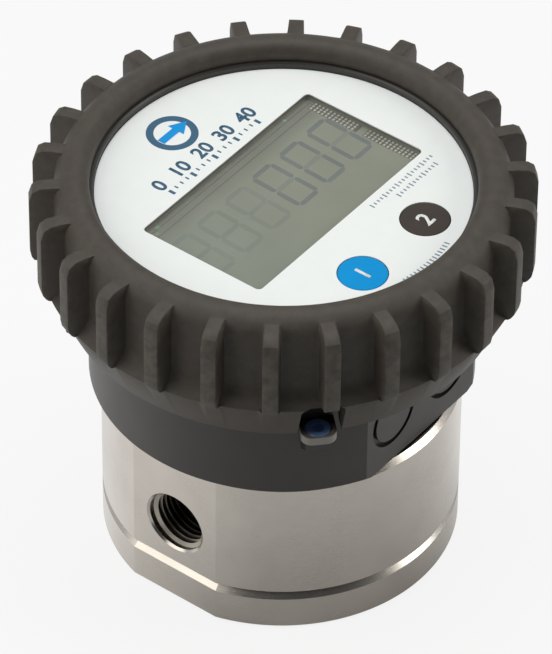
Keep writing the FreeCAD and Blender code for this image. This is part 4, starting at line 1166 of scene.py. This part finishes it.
@dataclass
class Display:
    """The display's front film with its figures and contact fields, in millimetres."""

    digits: int = 6
    faint: int = 3
    first: float = -23.5
    pitch: float = 8.7
    width: float = 5.6
    height: float = 12.1
    stroke: float = 1.05
    slant: float = 0.042
    centre_y: float = 1.7
    film: float = 0.02
    face_half: Flat = (26.35, 14.5)
    window_half: Flat = (26.15, 14.3)
    face_thick: float = 0.12
    face_gap: float = 0.06
    field_pitch: float = 0.93
    trace_wide: float = 0.5
    field_ends: tuple[Flat, Flat] = ((12.2, 0.4), (-1.2, -13.6))
    field_reach: Flat = (23.7, 26.1)
    border_out: float = 1.2
    border_wide: float = 1.25
    corner: float = 1.0
    corner_steps: int = 4
    bar_gap: float = 0.25
    bar_point: float = 0.48
    field_bar: float = 0.1
    edge_rows: Flat = (11.3, 12.9)
    edge_wide: float = 0.16
    specks: tuple[Point, ...] = ((-22.6, 13.2, 0.5), (-25.2, 12.8, 0.55), (-24.0, 12.2, 0.3),
                                 (17.9, 13.6, 0.4))

    @cached_property
    def top(self) -> float:
        """The height of the front film's upper side, in metres."""
        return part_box("display_window")[0].z - self.face_gap * MM

    def build(self) -> None:
        """Makes the front film, faint and dark segments, and the contact fields."""
        self.face()
        dark, ghost = [], []
        for index in range(self.digits):
            x = self.first + self.pitch * index
            for name, bar in self.segments(x).items():
                faint = index < self.faint or name == "middle"
                (ghost if faint else dark).append(self._segment(name, bar))
        self._close("display_dark", dark, Finish.SEGMENT, self.slant)
        self._close("display_ghost", ghost, Finish.GHOST, self.slant)
        self.border()
        self.window_corners()
        self.contact_fields()
        self.edge_lines()
        self.glints()

    def face(self) -> None:
        """Makes the front film under the window pane."""
        x, y = (half * MM for half in self.face_half)
        film = Bench("display_face").cube((-x, -y, self.top - self.face_thick * MM),
                                          (x, y, self.top))
        film.modify("BEVEL", width=0.05 * MM, segments=2).done(Finish.GLASS, "lcd_glass")

    def border(self) -> None:
        """Prints the pale border on the pane's underside, under the label's edge."""
        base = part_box("display_window")[0].z + 0.01 * MM
        x, y = (half * MM for half in self.window_half)
        border = Bench("window_border").plane(
            (0, 0, base), 2 * (x + self.border_out * MM), 2 * (y + self.border_out * MM))
        border.hollow(self.border_wide * MM).thicken(self.film * MM)
        border.done(Finish.BORDER, "lcd_glass")

    def window_corners(self) -> None:
        """Rounds the corners of the label's opening with small fillets."""
        low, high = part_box("display_window")[1].z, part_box("dial_label")[1].z
        x, y = self.window_half
        points = [(x * MM, y * MM, low)]
        for index in range(self.corner_steps + 1):
            across, up, _ = polar(self.corner, 90.0 - 90.0 * index / self.corner_steps, 0.0)
            points.append(((x - self.corner + across) * MM, (y - self.corner + up) * MM, low))
        fillet = Bench("window_corners").chain(points, closed=True)
        with fillet.editing():
            bpy.ops.mesh.edge_face_add()
        fillet.thicken(high - low)
        fillet.modify("MIRROR", use_axis=(True, True, False), use_mirror_merge=False)
        fillet.tidy().done(Finish.FILM, "dial_film")

    def segments(self, x: float) -> dict[str, Bar]:
        """The seven bars of one figure.

        Args:
            x: The figure's middle.

        Returns:
            Each bar's centre and whether it is upright, by name.
        """
        across, up, y = self.width / 2, self.height / 4, self.centre_y
        return {
            "top": (x, y + 2 * up, False), "middle": (x, y, False),
            "bottom": (x, y - 2 * up, False),
            "upper_left": (x - across, y + up, True), "upper_right": (x + across, y + up, True),
            "lower_left": (x - across, y - up, True), "lower_right": (x + across, y - up, True)}

    def _segment(self, name: str, bar: Bar) -> Bench:
        """One bar with pointed ends.

        Args:
            name: Its name.
            bar: Its centre and whether it is upright.

        Returns:
            A bench with the bar.
        """
        x, y, upright = bar
        length = (self.height / 2 if upright else self.width) - self.bar_gap
        size = (self.stroke, length) if upright else (length, self.stroke)
        bench = Bench(name).plane((x * MM, y * MM, self.top), size[0] * MM, size[1] * MM)
        with bench.editing():
            bpy.ops.mesh.bevel(offset=self.stroke * self.bar_point * MM, affect="VERTICES",
                               segments=1)
        return bench.thicken(self.film * MM)

    def _strip(self, name: str, low: Flat, high: Flat, layer: float = 0) -> Bench:
        """A flat printed rectangle.

        Args:
            name: Its name.
            low: Its lower left corner.
            high: Its upper right corner.
            layer: How many films lie under it.

        Returns:
            A bench with the rectangle.
        """
        centre = ((low[0] + high[0]) / 2 * MM, (low[1] + high[1]) / 2 * MM,
                  self.top + layer * self.film * MM)
        bench = Bench(name).plane(centre, (high[0] - low[0]) * MM, (high[1] - low[1]) * MM)
        return bench.thicken(self.film * MM)

    def contact_fields(self) -> None:
        """Two fields of fine crossing contact traces along the short edge."""
        inner, outer = self.field_reach
        grounds, traces = [], []
        for start, stop in self.field_ends:
            grounds.append(self._strip("field_ground", (inner, stop), (outer, start)))
            for index in range(int((start - stop) / self.field_pitch)):
                y = start - 0.2 - index * self.field_pitch
                traces.append(self._strip("trace", (inner + 0.1, y - self.trace_wide),
                                          (outer - 0.1, y), layer=1))
            for part in (0.33, 0.66):
                x = inner + (outer - inner) * part
                grounds.append(self._strip("field_bar", (x - self.field_bar, stop),
                                           (x + self.field_bar, start), layer=2.1))
        self._close("contact_ground", grounds, Finish.EDGE_INK)
        self._close("contact_traces", traces, Finish.TRACE)

    def edge_lines(self) -> None:
        """Two fine lines along the far long edge."""
        x = self.face_half[0] - 0.6
        lines = [self._strip("edge_line", (-x, y), (x, y + self.edge_wide))
                 for y in self.edge_rows]
        self._close("edge_lines", lines, Finish.EDGE_INK)

    def glints(self) -> None:
        """Specks of the green board that show past the film's far edge."""
        specks = [Bench("glint").disc((x * MM, y * MM, self.top), radius * MM, 12)
                  .thicken(self.film * MM) for x, y, radius in self.specks]
        self._close("board_glints", specks, Finish.BOARD_GLINT)

    @staticmethod
    def _close(name: str, pieces: list[Bench], finish: Finish, slant: float = 0.0) -> None:
        """Joins flat pieces into one and dresses it.

        Args:
            name: The whole's name.
            pieces: The benches with the pieces.
            finish: Its finish.
            slant: How far it leans to the right for each unit of height.
        """
        whole = pieces[0].join(pieces[1:], name)
        lean = Matrix.Identity(4)
        lean[0][1] = slant
        whole.piece.data.transform(lean)
        whole.done(finish, "lcd_glass")


# ---- studio ----

@dataclass
class Studio:
    """Floor, lights and camera."""

    azimuth: float = 52.77
    elevation: float = 42.024
    roll: float = 0.586
    distance: float = 1.1969
    lens: float = 332.99
    aim_side: float = -1.245 * MM
    aim_height: float = 48.0 * MM
    dim_side: float = 0.05
    dim_turn: float = 0.36
    left_wall: float = 0.30
    right_wall: float = 0.25
    far_wall: float = 0.35
    ceiling: float = 0.8
    lamp_aim: float = 45.0 * MM
    floor_size: float = 12.0
    floor_gap: float = 0.05 * MM
    floor_seen: float = 0.86
    floor_mirrored: float = 0.9

    @property
    def _turn(self) -> Matrix:
        """The turn about Z from the world's axes to the camera's."""
        return Matrix.Rotation(-math.radians(self.azimuth), 3, "Z")

    @staticmethod
    def _hang(name: str, data: bpy.types.ID, matrix: Matrix) -> bpy.types.Object:
        """Adds an object to the scene.

        Args:
            name: Its name.
            data: Its camera or light.
            matrix: Its place.

        Returns:
            The object.
        """
        made = bpy.data.objects.new(name, data)
        made.matrix_world = matrix
        bpy.context.collection.objects.link(made)
        return made

    def _sight(self) -> tuple[Vector, Vector, Vector]:
        """The camera's own directions.

        Returns:
            Its right, up and backward.
        """
        rise = math.radians(self.elevation)
        right = self._turn @ Vector((1, 0, 0))
        back = self._turn @ Vector((0, -math.cos(rise), math.sin(rise)))
        return right, back.cross(right), back

    def camera(self) -> None:
        """Places the camera."""
        right, up, back = self._sight()
        roll = Matrix.Rotation(math.radians(self.roll), 3, back)
        aim = right * self.aim_side + Vector((0, 0, self.aim_height))
        data = bpy.data.cameras.new("camera")
        data.lens = self.lens
        data.sensor_width = 36.0
        data.clip_end = 20.0
        basis = Matrix((roll @ right, roll @ up, back)).transposed()
        matrix = Matrix.Translation(aim + back * self.distance) @ basis.to_4x4()
        bpy.context.scene.camera = self._hang("camera", data, matrix)

    def lamp(self, name: str, place: Point, size: Flat, power: float,
             colour: Colour = (1.0, 1.0, 1.0)) -> None:
        """Adds a soft box that faces the object, its place given in the camera's own turn.

        Args:
            name: The lamp's name.
            place: Right of the camera's view, away from the camera, and up, in metres.
            size: The box's width and height.
            power: Its power in watts.
            colour: Its colour.
        """
        data = bpy.data.lights.new(name, "AREA")
        data.shape = "RECTANGLE"
        data.size, data.size_y = size
        data.energy = power
        data.color = colour
        spot = self._turn @ Vector(place)
        aim = Vector((0, 0, self.lamp_aim)) - spot
        facing = aim.to_track_quat("-Z", "Y").to_matrix().to_4x4()
        self._hang(name, data, Matrix.Translation(spot) @ facing)

    def floor(self) -> None:
        """A large pale floor that is white to the eye and keeps a soft shadow."""
        bench = Bench("studio_floor").plane((0, 0, CAD_BOX[0][2] - self.floor_gap),
                                            self.floor_size, self.floor_size)
        sheet = NodeSheet("studio_paper")
        tone = sheet.noise(3.0, 2.0)
        colour = sheet.blend(tone, (0.63, 0.63, 0.63), (0.65, 0.65, 0.65))
        paper = sheet.node("ShaderNodeBsdfDiffuse", {}, {"Color": colour})
        white = sheet.node("ShaderNodeEmission", {}, {"Color": (1.0, 1.0, 1.0), "Strength": 1.0})
        right, _, back = self._sight()
        dim_way = Vector((back.x, back.y, 0.0)).normalized() + right * self.dim_turn
        outward = sheet.node("ShaderNodeVectorMath", {"operation": "NORMALIZE"},
                             {0: sheet.place})
        near_side = sheet.along(outward, tuple(dim_way.normalized()))
        mirrored = sheet.ray("Glossy") + sheet.ray("Transmission")
        share = (sheet.ray("Camera") * self.floor_seen
                 + mirrored * (1 - near_side.ramp(-0.1, 0.9)) * self.floor_mirrored)
        sheet.surface(sheet.node("ShaderNodeMixShader", {}, {0: share, 1: paper, 2: white}))
        bench.piece.data.materials.append(sheet.material)

    def surround(self) -> None:
        """A soft room: pale walls left, right, behind and above, dim on the camera's side."""
        world = bpy.data.worlds.new("surround")
        bpy.context.scene.world = world
        sheet = NodeSheet(world)
        right, _, back = self._sight()
        front = Vector((back.x, back.y, 0.0)).normalized()
        way = sheet.node("ShaderNodeTexCoord", out="Generated")
        side = sheet.along(way, tuple(right))
        ahead = sheet.along(way, tuple(-front))
        rise = sheet.along(way, (0.0, 0.0, 1.0))
        low = 1 - rise.ramp(0.35, 0.85)
        walls = ((0 - side).ramp(0.45, 0.85) * self.left_wall
                 + side.ramp(0.55, 0.9) * self.right_wall) * low
        level = (self.dim_side + walls + ahead.ramp(-0.2, 0.6) * self.far_wall
                 + rise.ramp(0.80, 0.95) * self.ceiling)
        room = sheet.node("ShaderNodeBackground", {},
                          {"Color": (0.96, 0.98, 1.0), "Strength": level})
        white = sheet.node("ShaderNodeBackground", {}, {"Color": (1.0, 1.0, 1.0)})
        mixed = sheet.node("ShaderNodeMixShader", {}, {0: sheet.ray("Camera"), 1: room, 2: white})
        sheet.surface(mixed, "ShaderNodeOutputWorld")

    def build(self) -> None:
        """Sets up the whole studio."""
        self.camera()
        self.floor()
        self.surround()
        self.lamp("left_box", (-0.46, -0.17, 0.42), (0.54, 0.54), 1.5, (1.0, 0.99, 0.93))
        self.lamp("right_box", (0.54, -0.01, 0.36), (0.20, 0.26), 0.9, (1.0, 0.985, 0.92))
        self.lamp("top_box", (0.0, 0.20, 1.0), (0.7, 0.5), 3.5)
        bpy.context.scene.view_settings.view_transform = "Standard"


def main() -> None:
    """Builds every sub-assembly in order."""
    logging.basicConfig(level=logging.INFO, format="%(name)s: %(message)s")
    Studio().build()
    MeterBody().build()
    Register().build()
    RubberBoot().build()
    DialPrint().build()
    Display().build()


if __name__ == "__main__":
    main()
